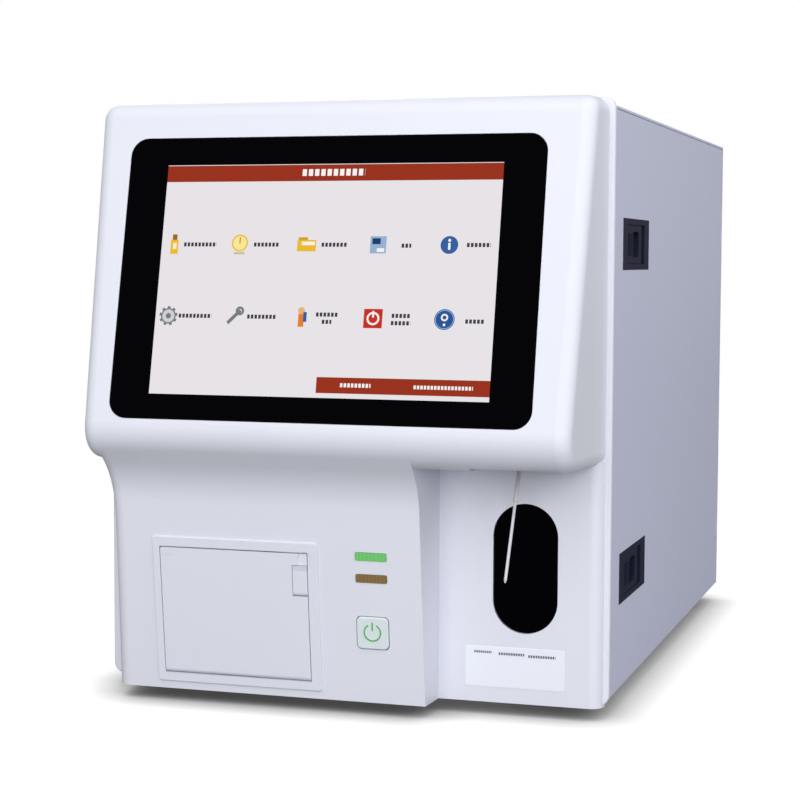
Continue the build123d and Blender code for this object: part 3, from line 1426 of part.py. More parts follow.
def fan_guard():
    """The finger guard: flat rings on four spokes, with ears for its screws."""
    guard = None
    for r in (9, 19, 29, 39):
        ring = extrude(Circle(r) - Circle(r - 1.6), GUARD_T)
        guard = ring if guard is None else guard + ring
    for turn in (45, 135):
        guard += Rot(0, 0, turn) * Pos(0, 0, GUARD_T / 2) * Box(FAN_SIZE * 1.2, 2, GUARD_T)
        for side in (-1, 1):
            ear = extrude(Circle(4), GUARD_T)
            guard += Rot(0, 0, turn) * Pos(side * FAN_SIZE * 0.6, 0, 0) * ear
    return Plane(origin=(FAN_X, CABINET_D, FAN_Z), x_dir=(-1, 0, 0), z_dir=(0, 1, 0)) * guard


INLET_Z = PANEL_BOTTOM + INLET_UP
ROCKER_Z = INLET_Z + ROCKER_RISE
SOCKET_Z = INLET_Z - SOCKET_DROP


def power_inlet():
    """The mains inlet with its rocker well, a flanged module in one moulding, and its pins."""
    left = INLET_X - INLET_W / 2
    right = INLET_X + INLET_W / 2
    z0 = INLET_Z - INLET_H / 2
    module = block(left, right, CABINET_D - INLET_DEPTH, CABINET_D, z0, z0 + INLET_H)
    rim = RectangleRounded(INLET_W + 2 * INLET_FLANGE, INLET_H + 2 * INLET_FLANGE, 2)
    rear = Plane(origin=(INLET_X, CABINET_D, INLET_Z), x_dir=(-1, 0, 0), z_dir=(0, 1, 0))
    module += rear * extrude(rim, INLET_FLANGE_T)
    out = CABINET_D + 3
    module -= block(INLET_X - 12, INLET_X + 12, CABINET_D - 16, out, SOCKET_Z - 8, SOCKET_Z + 8)
    well = (ROCKER_Z - ROCKER_WELL / 2, ROCKER_Z + ROCKER_WELL / 2)
    half = ROCKER_W / 2 + 0.5
    module -= block(INLET_X - half, INLET_X + half, CABINET_D - ROCKER_DEPTH, out, well[0], well[1])
    for dx, dz in ((-7, -2), (7, -2), (0, 2)):
        x = INLET_X + dx
        z = SOCKET_Z + dz
        module += block(x - 1, x + 1, CABINET_D - 17, CABINET_D - 3, z - 2, z + 2)
    return module - rod_x(1 + FIT, ROCKER_Y, ROCKER_Z, INLET_X - 12, INLET_X + 12)


ROCKER_Y = CABINET_D - 4.0


def power_rocker():
    """The rocker with its two sloping faces and its pivot stubs."""
    outline = make_face(
        Polyline(
            (ROCKER_Y - 3, -2),
            (ROCKER_Y - 3, 2),
            (ROCKER_Y + 2.2, 6.2),
            (ROCKER_Y + 7, 6.2),
            (ROCKER_Y + 4.6, 0),
            (ROCKER_Y + 4.4, -6.2),
            (ROCKER_Y - 0.6, -6.2),
            close=True,
        )
    )
    plane = Plane(origin=(INLET_X - ROCKER_W / 2, 0, ROCKER_Z), x_dir=(0, 1, 0), z_dir=(1, 0, 0))
    rocker = extrude(plane * outline, ROCKER_W)
    return rocker + rod_x(1, ROCKER_Y, ROCKER_Z, INLET_X - 11.5, INLET_X + 11.5)


def tube_ports():
    """The plate of tube nipples for diluent, lyse, rinse and waste."""
    z = PANEL_BOTTOM + PORT_UP
    half = 2 * PORT_PITCH - 2
    high = PORT_H / 2
    y1 = CABINET_D - SHEET
    plate = block(PORT_X - half, PORT_X + half, y1, CABINET_D, z - high, z + high)
    plate += block(PORT_X - half - 4, PORT_X + half + 4, CABINET_D - 4, y1, z - high - 4, z + high + 4)
    for i in range(4):
        x = PORT_X + (i - 1.5) * PORT_PITCH
        plate += rod_y(7, x, z, CABINET_D, CABINET_D + 3)
        plate += rod_y(NIPPLE_R, x, z, CABINET_D - 12, CABINET_D + REAR_REACH)
        plate -= rod_y(NIPPLE_R - 1, x, z, CABINET_D - 13, CABINET_D + REAR_REACH + 1)
    return plate


def interface_sockets():
    """The block of signal sockets behind the rear panel's window."""
    z = PANEL_BOTTOM + SOCKET_UP
    half = SOCKET_W / 2
    high = SOCKET_H / 2
    y1 = CABINET_D - SHEET
    y0 = CABINET_D - SOCKET_DEPTH
    bar = block(SOCKET_X - half, SOCKET_X + half, y0, CABINET_D, z - high, z + high)
    bar += block(SOCKET_X - half - 4, SOCKET_X + half + 4, y1 - 2, y1, z - high - 3, z + high + 3)
    for i, (width, height) in enumerate(((14, 10), (14, 10), (16, 13))):
        x = SOCKET_X - half + 6 + i * SOCKET_PITCH
        bar -= block(x, x + width, CABINET_D - 13, CABINET_D + 1, z - height / 2, z + height / 2)
    return bar


PIECES = {
    "front_panel": front_panel,
    "touch_glass": touch_glass,
    "lcd_module": lcd_module,
    "display_bracket": display_bracket,
    "display_board": display_board,
    "printer_frame": printer_frame,
    "printer_door": printer_door,
    "platen_roller": platen_roller,
    "printer_lever": printer_lever,
    "print_head": print_head,
    "paper_roll": paper_roll,
    "green_light": lambda: light(GREEN_UP),
    "amber_light": lambda: light(AMBER_UP),
    "power_button": power_button,
    "key_board": key_board,
    "aspirate_key": aspirate_key,
    "key_carrier": key_carrier,
    "aspirate_switch": aspirate_switch,
    "probe_needle": probe_needle,
    "probe_carriage": probe_carriage,
    "probe_bracket": probe_bracket,
    "guide_rods": guide_rods,
    "lift_screw": lift_screw,
    "lift_motor": lift_motor,
    "wipe_block": wipe_block,
    "front_frame": front_frame,
    "base_tray": base_tray,
    "feet": feet,
    "left_side_panel": left_side_panel,
    "top_cover": top_cover,
    "rear_panel": rear_panel,
    "partition": partition,
    "hinge_pins": hinge_pins,
    "right_side_door": right_side_door,
    "latch_housings": latch_housings,
    "lower_latch_slide": lambda: latch_slide(LATCH_UPS[0]),
    "upper_latch_slide": lambda: latch_slide(LATCH_UPS[1]),
    "cover_screws": cover_screws,
    "bath_bracket": bath_bracket,
    "white_cell_bath": lambda: bath(BATH_YS[0]),
    "red_cell_bath": lambda: bath(BATH_YS[1]),
    "syringe_frame": syringe_frame,
    "syringe_motors": syringe_motors,
    "syringe_barrels": syringe_barrels,
    "diluent_plunger": lambda: plunger(0),
    "sample_plunger": lambda: plunger(1),
    "valve_manifold": valve_manifold,
    "solenoid_valves": solenoid_valves,
    "vacuum_chamber": vacuum_chamber,
    "pump_body": pump_body,
    "pump_rotor": pump_rotor,
    "main_board": main_board,
    "power_supply": power_supply,
    "fan_housing": fan_housing,
    "fan_rotor": fan_rotor,
    "fan_guard": fan_guard,
    "power_inlet": power_inlet,
    "power_rocker": power_rocker,
    "tube_ports": tube_ports,
    "interface_sockets": interface_sockets,
}

# The origin lies on the bench under the middle of the whole object
FOREMOST = hood_front(HOOD_BASE + LIP_R) + LIP_R * (1 / math.cos(TILT) - 1)
ORIGIN = Pos(0, -(CABINET_D + REAR_REACH + FOREMOST) / 2, 0)

os.makedirs("parts", exist_ok=True)
for name, make in PIECES.items():
    export_step(ORIGIN * make(), os.path.join("parts", name + ".step"))
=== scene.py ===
"""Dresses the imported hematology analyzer: finishes, a lit menu, thin marks and a studio."""

import math

import bmesh
import bpy
from bpy.props import FloatProperty, FloatVectorProperty, PointerProperty
from mathutils import Matrix, Vector


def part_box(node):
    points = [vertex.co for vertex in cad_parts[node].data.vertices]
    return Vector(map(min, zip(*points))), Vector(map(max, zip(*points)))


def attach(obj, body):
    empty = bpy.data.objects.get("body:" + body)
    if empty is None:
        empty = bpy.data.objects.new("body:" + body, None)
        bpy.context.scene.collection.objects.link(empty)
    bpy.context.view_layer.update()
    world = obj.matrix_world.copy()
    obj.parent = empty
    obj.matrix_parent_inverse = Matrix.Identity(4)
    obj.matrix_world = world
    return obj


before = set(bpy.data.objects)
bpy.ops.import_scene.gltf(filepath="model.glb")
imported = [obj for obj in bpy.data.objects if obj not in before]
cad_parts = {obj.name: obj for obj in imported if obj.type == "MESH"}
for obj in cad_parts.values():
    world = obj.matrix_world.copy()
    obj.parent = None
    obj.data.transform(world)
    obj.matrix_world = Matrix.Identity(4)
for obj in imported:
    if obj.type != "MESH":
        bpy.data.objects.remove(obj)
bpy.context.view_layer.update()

bl_info = {
    "name": "Hematology analyzer dressing",
    "version": (1, 0, 0),
    "blender": (4, 5, 0),
    "location": "View3D > Sidebar > Analyzer",
    "description": "Finishes, marks and studio for the bench-top analyzer",
    "category": "Object",
}

MM = 0.001
ROOT = "cabinet"

# How far the screen's face leans back, and how far the printer block's face leans forward
HOOD_TILT = math.radians(12.65)
BLOCK_LEAN = math.radians(6.4)

# Indices of refraction, a lens's ribs in radians per metre, and the Mix node's colour sockets
PLASTIC_IOR = 1.5
ACRYLIC_IOR = 1.49
LENS_RIBS = 2600.0
MIX_FIRST = 6
MIX_SECOND = 7
MIX_RESULT = 2

# Lamps: the setting that holds the power, place in metres, size, and whether mirrors show it
LAMPS = {
    "front_lamp": ("front_power", (0.2, -3.0, 0.9), 2.2, False),
    "right_lamp": ("right_power", (1.6, -2.3, 1.0), 1.6, False),
    "high_lamp": ("high_power", (0.1, -2.0, 2.4), 1.4, True),
    "side_lamp": ("side_power", (2.3, -0.5, 1.6), 1.4, False),
    "rear_lamp": ("rear_power", (-1.7, 2.4, 1.5), 1.8, True),
}
LAMP_AIM = Vector((0, 0, 0.2))

# The photograph's viewpoint, solved from the cabinet's and the screen's edges: metres, degrees,
# and the lens and sensor in millimetres
CAMERA_PLACE = (0.39022, -1.36150, 0.27904)
CAMERA_TURN = 17.20
CAMERA_DIP = 4.10
CAMERA_ROLL = 0.25
CAMERA_LENS = 88.31
SENSOR_WIDTH = 36
CLIP_START = 0.01

# Floor: half its width and where it starts and ends turning plain white, in metres, and how
# quickly the painted contact shadow in its glow thins
FLOOR_HALF = 8
FADE_START = 0.45
FADE_END = 0.8
CONTACT_POWER = 1.4
CONTACT_SAMPLES = 16

# Blank plate: millimetres, its marks as middle, width and height from the plate's middle
PLATE_SHIFT = 6.1
PLATE_UP = 30.0
PLATE_CORNER = 0.8
PLATE_THICK = 0.25
PLATE_RIM = 0.08
PLATE_MARKS = ((-20.0, 9.0, 11.0, 1.4), (-2.0, 8.4, 16.0, 1.6), (17.0, 7.8, 17.0, 1.6))

# Power sign: its ring in millimetres and the gap in it, and its bar: length and rise as shares of
# the ring's radius, corners as a share of the bar's width
SIGN_WIDTH = 0.95
SIGN_THICK = 0.22
SIGN_GAP = math.radians(62)
SIGN_STEPS = 40
BAR_LENGTH = 1.05
BAR_UP = 0.72
BAR_CORNER = 0.48

# How far before a node a probing line starts
PROBE_START = 10 * MM


def srgb(red, green, blue):
    """A display colour of 0 to 255 as the linear colour that nodes take."""
    out = []
    for value in (red, green, blue):
        share = value / 255
        out.append(share / 12.92 if share <= 0.04045 else ((share + 0.055) / 1.055) ** 2.4)
    return tuple(out)


def middle(node):
    """Centre of a CAD node's box."""
    low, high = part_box(node)
    return (low + high) / 2


def leaning(centre, tilt):
    """A matrix with X to the right, Y up a face that leans back by tilt, and Z out of it."""
    up = Vector((0, math.sin(tilt), math.cos(tilt)))
    out = Vector((0, -math.cos(tilt), math.sin(tilt)))
    basis = Matrix(((1, 0, 0), up, out)).transposed().to_4x4()
    basis.translation = centre
    return basis


# Settings
class ScreenSettings(bpy.types.PropertyGroup):
    """Sizes and colours of the picture on the touch screen."""

    picture_width: FloatProperty(
        name="Picture width",
        description="Width of the lit area",
        default=214.2 * MM,
        unit="LENGTH",
    )
    picture_height: FloatProperty(
        name="Picture height",
        description="Height of the lit area",
        default=143.0 * MM,
        unit="LENGTH",
    )
    picture_drop: FloatProperty(
        name="Picture drop",
        description="How far the lit area's middle lies below the glass's",
        default=0.9 * MM,
        unit="LENGTH",
    )
    field: FloatVectorProperty(
        name="Field",
        description="Colour of the menu's background",
        subtype="COLOR",
        default=srgb(231, 227, 231),
    )
    bar: FloatVectorProperty(
        name="Bars",
        description="Colour of the title and status bars",
        subtype="COLOR",
        default=srgb(152, 50, 28),
    )
    glow: FloatProperty(name="Glow", description="Strength of the lit picture", default=1.0)


class FinishSettings(bpy.types.PropertyGroup):
    """Colours of the main finishes."""

    moulding: FloatVectorProperty(
        name="Moulding",
        description="Front panel plastic",
        subtype="COLOR",
        default=srgb(226, 228, 240),
    )
    paint: FloatVectorProperty(
        name="Cabinet paint",
        description="Powder coat",
        subtype="COLOR",
        default=srgb(211, 216, 240),
    )
    key: FloatVectorProperty(
        name="Start key",
        description="Key behind the needle",
        subtype="COLOR",
        default=srgb(2, 2, 4),
    )


class MarkSettings(bpy.types.PropertyGroup):
    """Sizes of the thin plate and the power sign."""

    plate_width: FloatProperty(
        name="Plate width",
        description="Blank plate below the start key",
        default=62.0 * MM,
        unit="LENGTH",
    )
    plate_height: FloatProperty(
        name="Plate height",
        description="Blank plate below the start key",
        default=25.0 * MM,
        unit="LENGTH",
    )
    sign_radius: FloatProperty(
        name="Sign radius",
        description="Ring of the power sign",
        default=5.2 * MM,
        unit="LENGTH",
    )


class StudioSettings(bpy.types.PropertyGroup):
    """Light and floor."""

    front_power: FloatProperty(
        name="Front lamp",
        description="Wide frontal lamp in watts",
        default=40.0,
    )
    right_power: FloatProperty(
        name="Right lamp",
        description="Front right lamp in watts",
        default=16.0,
    )
    high_power: FloatProperty(
        name="High lamp",
        description="High frontal lamp in watts",
        default=17.0,
    )
    rear_power: FloatProperty(
        name="Rear lamp",
        description="Lamp behind on the left in watts",
        default=22.0,
    )
    side_power: FloatProperty(
        name="Side lamp",
        description="Lamp on the right side in watts",
        default=17.0,
    )
    floor_tone: FloatProperty(
        name="Floor tone",
        description="How much light the floor throws back",
        default=0.24,
    )
    # Reach of the painted contact shadow in the floor's glow
    contact: FloatProperty(
        name="Contact shadow",
        description="Reach of the dark line where the analyzer stands",
        default=30 * MM,
        unit="LENGTH",
    )
    world: FloatProperty(name="World", description="Strength of the even light", default=0.42)


# Node trees
class Signal:
    """A node's output socket that takes part in Python sums."""

    def __init__(self, tree, socket):
        self.tree = tree
        self.socket = socket

    def math(self, operation, *others):
        """This signal and others through one Math node."""
        return self.tree.node("ShaderNodeMath", {"operation": operation}, self, *others)

    def __add__(self, other):
        return self.math("ADD", other)

    def __radd__(self, other):
        return self.math("ADD", other)

    def __sub__(self, other):
        return self.math("SUBTRACT", other)

    def __rsub__(self, other):
        return self.tree.node("ShaderNodeMath", {"operation": "SUBTRACT"}, other, self)

    def __mul__(self, other):
        return self.math("MULTIPLY", other)

    def __rmul__(self, other):
        return self.math("MULTIPLY", other)

    def __lt__(self, other):
        return self.math("LESS_THAN", other)

    def __gt__(self, other):
        return self.math("GREATER_THAN", other)

    def __abs__(self):
        return self.math("ABSOLUTE")


class Tree:
    """The node tree of a material or a world under construction."""

    def __init__(self, owner, closing):
        owner.use_nodes = True
        self.nodes = owner.node_tree.nodes
        self.links = owner.node_tree.links
        self.nodes.clear()
        self.end = self.nodes.new(closing).inputs["Surface"]

    def put(self, socket, value):
        """A link from a signal, or a plain value, into an input socket."""
        if isinstance(value, Signal):
            self.links.new(value.socket, socket)
        elif isinstance(value, tuple) and len(value) == 3 and socket.type == "RGBA":
            socket.default_value = (*value, 1)
        else:
            socket.default_value = value

    def node(self, kind, settings, *values, out=0, **named):
        """A node with its settings first and then its inputs, by order or by name."""
        made = self.nodes.new(kind)
        for key, value in settings.items():
            setattr(made, key, value)
        for socket, value in zip(made.inputs, values):
            self.put(socket, value)
        for key, value in named.items():
            self.put(made.inputs[key.replace("_", " ")], value)
        return Signal(self, made.outputs[out])

    def straight(self):
        """1 for rays from the camera, also through clear pieces, and 0 for the rest."""
        path = self.nodes.new("ShaderNodeLightPath")
        camera = Signal(self, path.outputs["Is Camera Ray"])
        return camera.math("MAXIMUM", Signal(self, path.outputs["Is Transmission Ray"]))


class Shade(Tree):
    """One material under construction, around a Principled shader."""

    def __init__(self, name, **constants):
        self.material = bpy.data.materials.new(name)
        super().__init__(self.material, "ShaderNodeOutputMaterial")
        self.surface = self.nodes.new("ShaderNodeBsdfPrincipled")
        self.put(self.end, Signal(self, self.surface.outputs[0]))
        self.set(**constants)

    def place(self):
        """Object coordinates."""
        return self.node("ShaderNodeTexCoord", {}, out="Object")

    def split(self, vector):
        """The three numbers of a vector."""
        first = self.node("ShaderNodeSeparateXYZ", {}, vector)
        return [Signal(self, output) for output in first.socket.node.outputs]

    def noise(self, scale, detail=4.0, roughness=0.5, vector=None):
        """Noise of a scale in cells per metre, about 0.5."""
        where = vector or self.place()
        return self.node(
            "ShaderNodeTexNoise", {}, Vector=where, Scale=scale, Detail=detail, Roughness=roughness
        )

    def mix(self, share, first, second):
        """Two colours by a share."""
        made = self.nodes.new("ShaderNodeMix")
        made.data_type = "RGBA"
        self.put(made.inputs[0], share)
        self.put(made.inputs[MIX_FIRST], first)
        self.put(made.inputs[MIX_SECOND], second)
        return Signal(self, made.outputs[MIX_RESULT])

    def toned(self, share, colour, low, high):
        """A colour that runs from low to high times itself with a share."""
        return self.mix(share, tinted(colour, low), tinted(colour, high))

    def bump(self, height, strength, distance):
        """A bumped normal."""
        return self.node("ShaderNodeBump", {}, Strength=strength, Distance=distance, Height=height)

    def set(self, **links):
        """Signals or values into the Principled shader's sockets."""
        for socket, value in links.items():
            self.put(self.surface.inputs[socket.replace("_", " ")], value)
        return self.material


def tinted(colour, share):
    """A colour made darker or lighter by a share."""
    return tuple(min(1.0, value * share) for value in colour)


def moulded_plastic(name, colour, roughness=0.38, grain=900.0, depth=0.02, sheen=0.5):
    """Satin moulding with a fine spark-eroded grain and a faint unevenness of tone."""
    shade = Shade(name, IOR=PLASTIC_IOR, Specular_IOR_Level=sheen)
    cloud = shade.noise(7.0, detail=3.0)
    grit = shade.noise(grain, detail=2.0)
    tone = shade.toned(cloud, colour, 0.975, 1.02)
    rough = cloud * 0.08 + (roughness - 0.04)
    normal = shade.bump(grit, depth, 0.4 * MM)
    return shade.set(Base_Color=tone, Roughness=rough, Normal=normal)


def powder_coat(name, colour, roughness=0.45):
    """Sheet steel with a fine orange-peel powder coat."""
    shade = Shade(name, IOR=PLASTIC_IOR)
    cloud = shade.noise(5.0, detail=3.0)
    peel = shade.noise(420.0, detail=2.0, roughness=0.4)
    fine = shade.noise(1500.0, detail=1.0)
    tone = shade.toned(cloud, colour, 0.98, 1.015)
    rough = peel * 0.1 + (roughness - 0.05)
    normal = shade.bump(peel * 0.7 + fine * 0.3, 0.05, 0.5 * MM)
    return shade.set(Base_Color=tone, Roughness=rough, Normal=normal)


def plain_metal(name, colour, roughness=0.3, along=(1.0, 1.0, 1.0), metallic=1.0):
    """Bare metal with fine streaks along one direction and slight staining."""
    shade = Shade(name, Metallic=metallic)
    stretched = shade.node("ShaderNodeMapping", {}, Vector=shade.place(), Scale=along)
    lines = shade.noise(300.0, detail=3.0, roughness=0.6, vector=stretched)
    stain = shade.noise(25.0)
    tone = shade.toned(stain, colour, 0.88, 1.05)
    rough = lines * 0.16 + (roughness - 0.08)
    normal = shade.bump(lines, 0.04, 0.3 * MM)
    return shade.set(Base_Color=tone, Roughness=rough, Normal=normal)


def dull_black(name, colour, roughness, sheen=0.5):
    """Dark moulding or rubber with worn, slightly lighter patches."""
    shade = Shade(name, Specular_IOR_Level=sheen)
    wear = shade.noise(60.0, detail=5.0, roughness=0.6)
    grit = shade.noise(1100.0, detail=2.0)
    tone = shade.toned(wear, colour, 1.0, 1.7)
    rough = wear * 0.15 + (roughness - 0.07)
    normal = shade.bump(grit, 0.08, 0.4 * MM)
    return shade.set(Base_Color=tone, Roughness=rough, Normal=normal)


def lens(name, colour, glow):
    """A ribbed indicator lens."""
    shade = Shade(name, Roughness=0.22, IOR=ACRYLIC_IOR, Emission_Strength=glow)
    along = shade.split(shade.place())[0]
    ribs = (along * LENS_RIBS).math("SINE")
    tone = shade.toned(ribs * 0.25 + 0.5, colour, 0.85, 1.12)
    normal = shade.bump(ribs, 0.15, 0.2 * MM)
    return shade.set(Base_Color=tone, Emission_Color=tone, Normal=normal)


def circuit_board(name):
    """Green board with lighter tracks."""
    shade = Shade(name, Roughness=0.4)
    tracks = shade.node(
        "ShaderNodeTexBrick",
        {"offset": 0.37},
        Vector=shade.place(),
        Scale=190.0,
        Mortar_Size=0.09,
        Bias=0.2,
    )
    green = shade.mix(shade.noise(30.0), srgb(12, 82, 46), srgb(20, 104, 58))
    tone = shade.mix(tracks, green, srgb(34, 128, 74))
    return shade.set(Base_Color=tone, Normal=shade.bump(tracks, 0.2, 0.2 * MM))


def clear_plastic(name, colour, transmission, roughness=0.12):
    """Clear or milky machined plastic or glass."""
    shade = Shade(name, IOR=ACRYLIC_IOR, Transmission_Weight=transmission)
    marks = shade.noise(220.0, detail=3.0)
    tone = shade.toned(marks, colour, 0.94, 1.0)
    rough = marks * 0.08 + roughness
    normal = shade.bump(marks, 0.05, 0.2 * MM)
    return shade.set(Base_Color=tone, Roughness=rough, Normal=normal)


# Menu picture: places and sizes in millimetres from the middle of the lit area
TITLE_BAR = (0, 66.0, 10.2)
STATUS_BAR = (54.0, -63.8, 107.0, 9.6)
BAR_CAPTIONS = ((1.6, 66.2, 40.0, 4.2), (25.0, -63.6, 19.0, 2.4), (79.0, -63.8, 36.0, 2.2))

# Middles of the icons' columns and rows, and the captions beside them as middle and width
COLUMNS = (-98.6, -55.5, -12.3, 33.0, 77.0)
ROWS = (21.5, -23.2)
CAPTIONS = (
    (-81.5, 21.5, 21.5), (-38.0, 21.5, 16.5), (5.5, 21.5, 16.5), (50.6, 21.0, 6.0),
    (95.0, 21.5, 14.5), (-81.0, -23.0, 21.5), (-37.4, -23.0, 19.0), (4.1, -21.2, 14.0),
    (4.1, -25.6, 6.0), (50.3, -21.4, 11.5), (50.3, -25.8, 12.0), (95.5, -24.2, 11.5),
)
CAPTION_HEIGHT = 2.5

# Strokes of a caption: their pitch as a share of its height, and how much of it is inked
STROKE_PITCH = 0.95
STROKE_SHARE = 0.68

# Gear icon: radii; spanner icon: half its handle's width and length, and its head as the offset
# from the icon's middle, radius and width
GEAR_TEETH = 9.0
GEAR_ROOT = 4.9
GEAR_TOOTH = 1.1
GEAR_FACE = 4.0
GEAR_HOLE = 1.7
SPANNER_WIDTH = 1.1
SPANNER_LENGTH = 5.6
SPANNER_HEAD = (3.6, 2.0, 1.5)
DIAGONAL = math.sqrt(0.5)

GREY = srgb(120, 124, 128)
YELLOW = srgb(236, 186, 48)
BLUE = srgb(52, 96, 158)
ORANGE = srgb(226, 128, 44)
RED = srgb(196, 48, 36)
WHITE = (0.9, 0.9, 0.9)
INK = srgb(62, 58, 66)


def within(x, y, across, up, width, height):
    """Mask of an upright box."""
    return (abs(x - across * MM) < width * MM / 2) * (abs(y - up * MM) < height * MM / 2)


def distance(x, y, across, up):
    """Distance from a point."""
    dx = x - across * MM
    dy = y - up * MM
    return (dx * dx + dy * dy).math("SQRT")


def disc(x, y, across, up, radius):
    """Mask of a disc."""
    return distance(x, y, across, up) < radius * MM


def ring(x, y, across, up, radius, width):
    """Mask of a ring."""
    return abs(distance(x, y, across, up) - radius * MM) < width * MM / 2


def strokes(x, y, across, up, width, height):
    """Mask of a caption as a row of short upright strokes, with no letters in it."""
    start = (across - width / 2) * MM
    beat = ((x - start) * (1 / (STROKE_PITCH * height * MM))).math("FRACT")
    return within(x, y, across, up, width, height) * (beat < STROKE_SHARE)


def menu_shapes(x, y):
    """Every simple shape of the menu, as mask and colour, from back to front.

    Each mask takes its place from an icon's middle, and its sizes in millimetres.
    """
    top, low = ROWS
    bottle, dial, folder, device, info = COLUMNS
    shapes = [
        (within(x, y, bottle, top - 1.5, 5.0, 9.0), YELLOW),
        (within(x, y, bottle, top + 4.6, 3.0, 3.4), srgb(150, 104, 30)),
        (within(x, y, bottle + 0.2, top - 1.0, 2.4, 4.0), srgb(250, 236, 190)),
        (disc(x, y, dial, top + 1.0, 5.2), srgb(246, 232, 150)),
        (ring(x, y, dial, top + 1.0, 4.8, 0.9), YELLOW),
        (within(x, y, dial, top + 2.6, 0.8, 4.0), ORANGE),
        (within(x, y, dial, top - 5.4, 7.0, 1.6), srgb(200, 196, 160)),
        (within(x, y, folder - 2.4, top + 3.4, 6.0, 2.4), srgb(210, 160, 40)),
        (within(x, y, folder, top - 0.6, 12.0, 7.0), YELLOW),
        (within(x, y, folder + 1.0, top + 0.8, 8.4, 2.2), srgb(252, 246, 226)),
        (within(x, y, device, top, 10.0, 10.5), srgb(150, 178, 208)),
        (within(x, y, device - 1.2, top + 2.2, 5.2, 3.6), srgb(30, 60, 112)),
        (within(x, y, device + 1.6, top - 3.2, 4.6, 2.2), WHITE),
        (disc(x, y, info, top, 5.4), BLUE),
        (within(x, y, info, top - 0.8, 1.4, 4.2), WHITE),
        (disc(x, y, info, top + 2.8, 0.9), WHITE),
        (within(x, y, device, low, 11.6, 11.6), RED),
        (ring(x, y, device, low, 3.4, 1.2), WHITE),
        (within(x, y, device, low + 2.6, 1.1, 4.0), WHITE),
        (disc(x, y, info, low, 6.2), srgb(40, 84, 150)),
        (ring(x, y, info, low, 5.5, 0.5), srgb(140, 176, 214)),
        (ring(x, y, info, low + 1.2, 1.7, 1.0), WHITE),
        (disc(x, y, info, low - 3.2, 0.8), WHITE),
        (within(x, y, folder, low - 1.6, 3.6, 8.0), ORANGE),
        (disc(x, y, folder, low + 4.2, 2.2), srgb(232, 178, 120)),
        (within(x, y, folder + 2.4, low + 0.4, 2.2, 6.0), BLUE),
    ]
    away = distance(x, y, bottle, low)
    turn = (y - low * MM).math("ARCTAN2", x - bottle * MM)
    teeth = (turn * GEAR_TEETH).math("SINE") > 0
    shapes.append((away < teeth * (GEAR_TOOTH * MM) + GEAR_ROOT * MM, GREY))
    shapes.append((away < GEAR_FACE * MM, srgb(206, 208, 212)))
    shapes.append((away < GEAR_HOLE * MM, GREY))
    slant = ((x - dial * MM) + (y - low * MM)) * DIAGONAL
    cross = ((y - low * MM) - (x - dial * MM)) * DIAGONAL
    handle = (abs(cross) < SPANNER_WIDTH * MM) * (abs(slant) < SPANNER_LENGTH * MM)
    offset, radius, wide = SPANNER_HEAD
    shapes.append((handle, GREY))
    shapes.append((ring(x, y, dial + offset, low + offset, radius, wide), GREY))
    for across, up, width in CAPTIONS:
        shapes.append((strokes(x, y, across, up, width, CAPTION_HEIGHT), INK))
    return shapes


def screen_glass(settings):
    """Black-edged glass with the lit menu behind it."""
    shade = Shade(
        "screen_glass", IOR=PLASTIC_IOR, Specular_IOR_Level=0.04, Emission_Strength=settings.glow
    )
    centre = middle("touch_glass")
    px, py, pz = shade.split(shade.place())
    x = px - centre.x
    rise = (py - centre.y) * math.sin(HOOD_TILT) + (pz - centre.z) * math.cos(HOOD_TILT)
    y = rise + settings.picture_drop
    width = settings.picture_width / MM
    height = settings.picture_height / MM
    bar = tuple(settings.bar)
    across, up, high = TITLE_BAR
    picture = shade.mix(within(x, y, across, up, width, high), tuple(settings.field), bar)
    for mask, colour in menu_shapes(x, y):
        picture = shade.mix(mask, picture, colour)
    picture = shade.mix(within(x, y, *STATUS_BAR), picture, bar)
    for caption in BAR_CAPTIONS:
        picture = shade.mix(strokes(x, y, *caption), picture, WHITE)
    shown = shade.mix(within(x, y, 0, 0, width, height), (0.0, 0.0, 0.0), picture)
    smear = shade.noise(16.0, roughness=0.6)
    rough = smear * 0.06 + 0.05
    return shade.set(Base_Color=(0.0005, 0.0005, 0.001), Emission_Color=shown, Roughness=rough)


# Meshes
def face_point(node, x, z):
    """Where a line from the front first meets a CAD node, at X and Z."""
    start = Vector((x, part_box(node)[0].y - PROBE_START, z))
    found, place, *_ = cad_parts[node].ray_cast(start, Vector((0, 1, 0)))
    if not found:
        raise RuntimeError("no surface in front of " + node)
    return place


def stand(name, mesh, material):
    """A bmesh with one material as an object of its own."""
    data = bpy.data.meshes.new(name)
    mesh.to_mesh(data)
    mesh.free()
    data.materials.append(material)
    made = bpy.data.objects.new(name, data)
    bpy.context.scene.collection.objects.link(made)
    return made


def piece(name, mesh, material, body):
    """A finished mesh as a new piece that rides on a body."""
    bmesh.ops.recalc_face_normals(mesh, faces=mesh.faces)
    made = stand(name, mesh, material)
    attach(made, body)


def rounded_plate(width, height, radius, thick, segments):
    """A bmesh plate with rounded corners, its back on Z 0."""
    mesh = bmesh.new()
    bmesh.ops.create_grid(mesh, x_segments=1, y_segments=1, size=0.5)
    bmesh.ops.scale(mesh, vec=(width, height, 1), verts=mesh.verts)
    bmesh.ops.bevel(
        mesh,
        geom=list(mesh.verts),
        offset=radius,
        segments=segments,
        profile=0.5,
        affect="VERTICES",
        material=-1,
    )
    lifted = bmesh.ops.extrude_face_region(mesh, geom=list(mesh.faces))
    top = [v for v in lifted["geom"] if isinstance(v, bmesh.types.BMVert)]
    bmesh.ops.translate(mesh, vec=(0, 0, thick), verts=top)
    return mesh


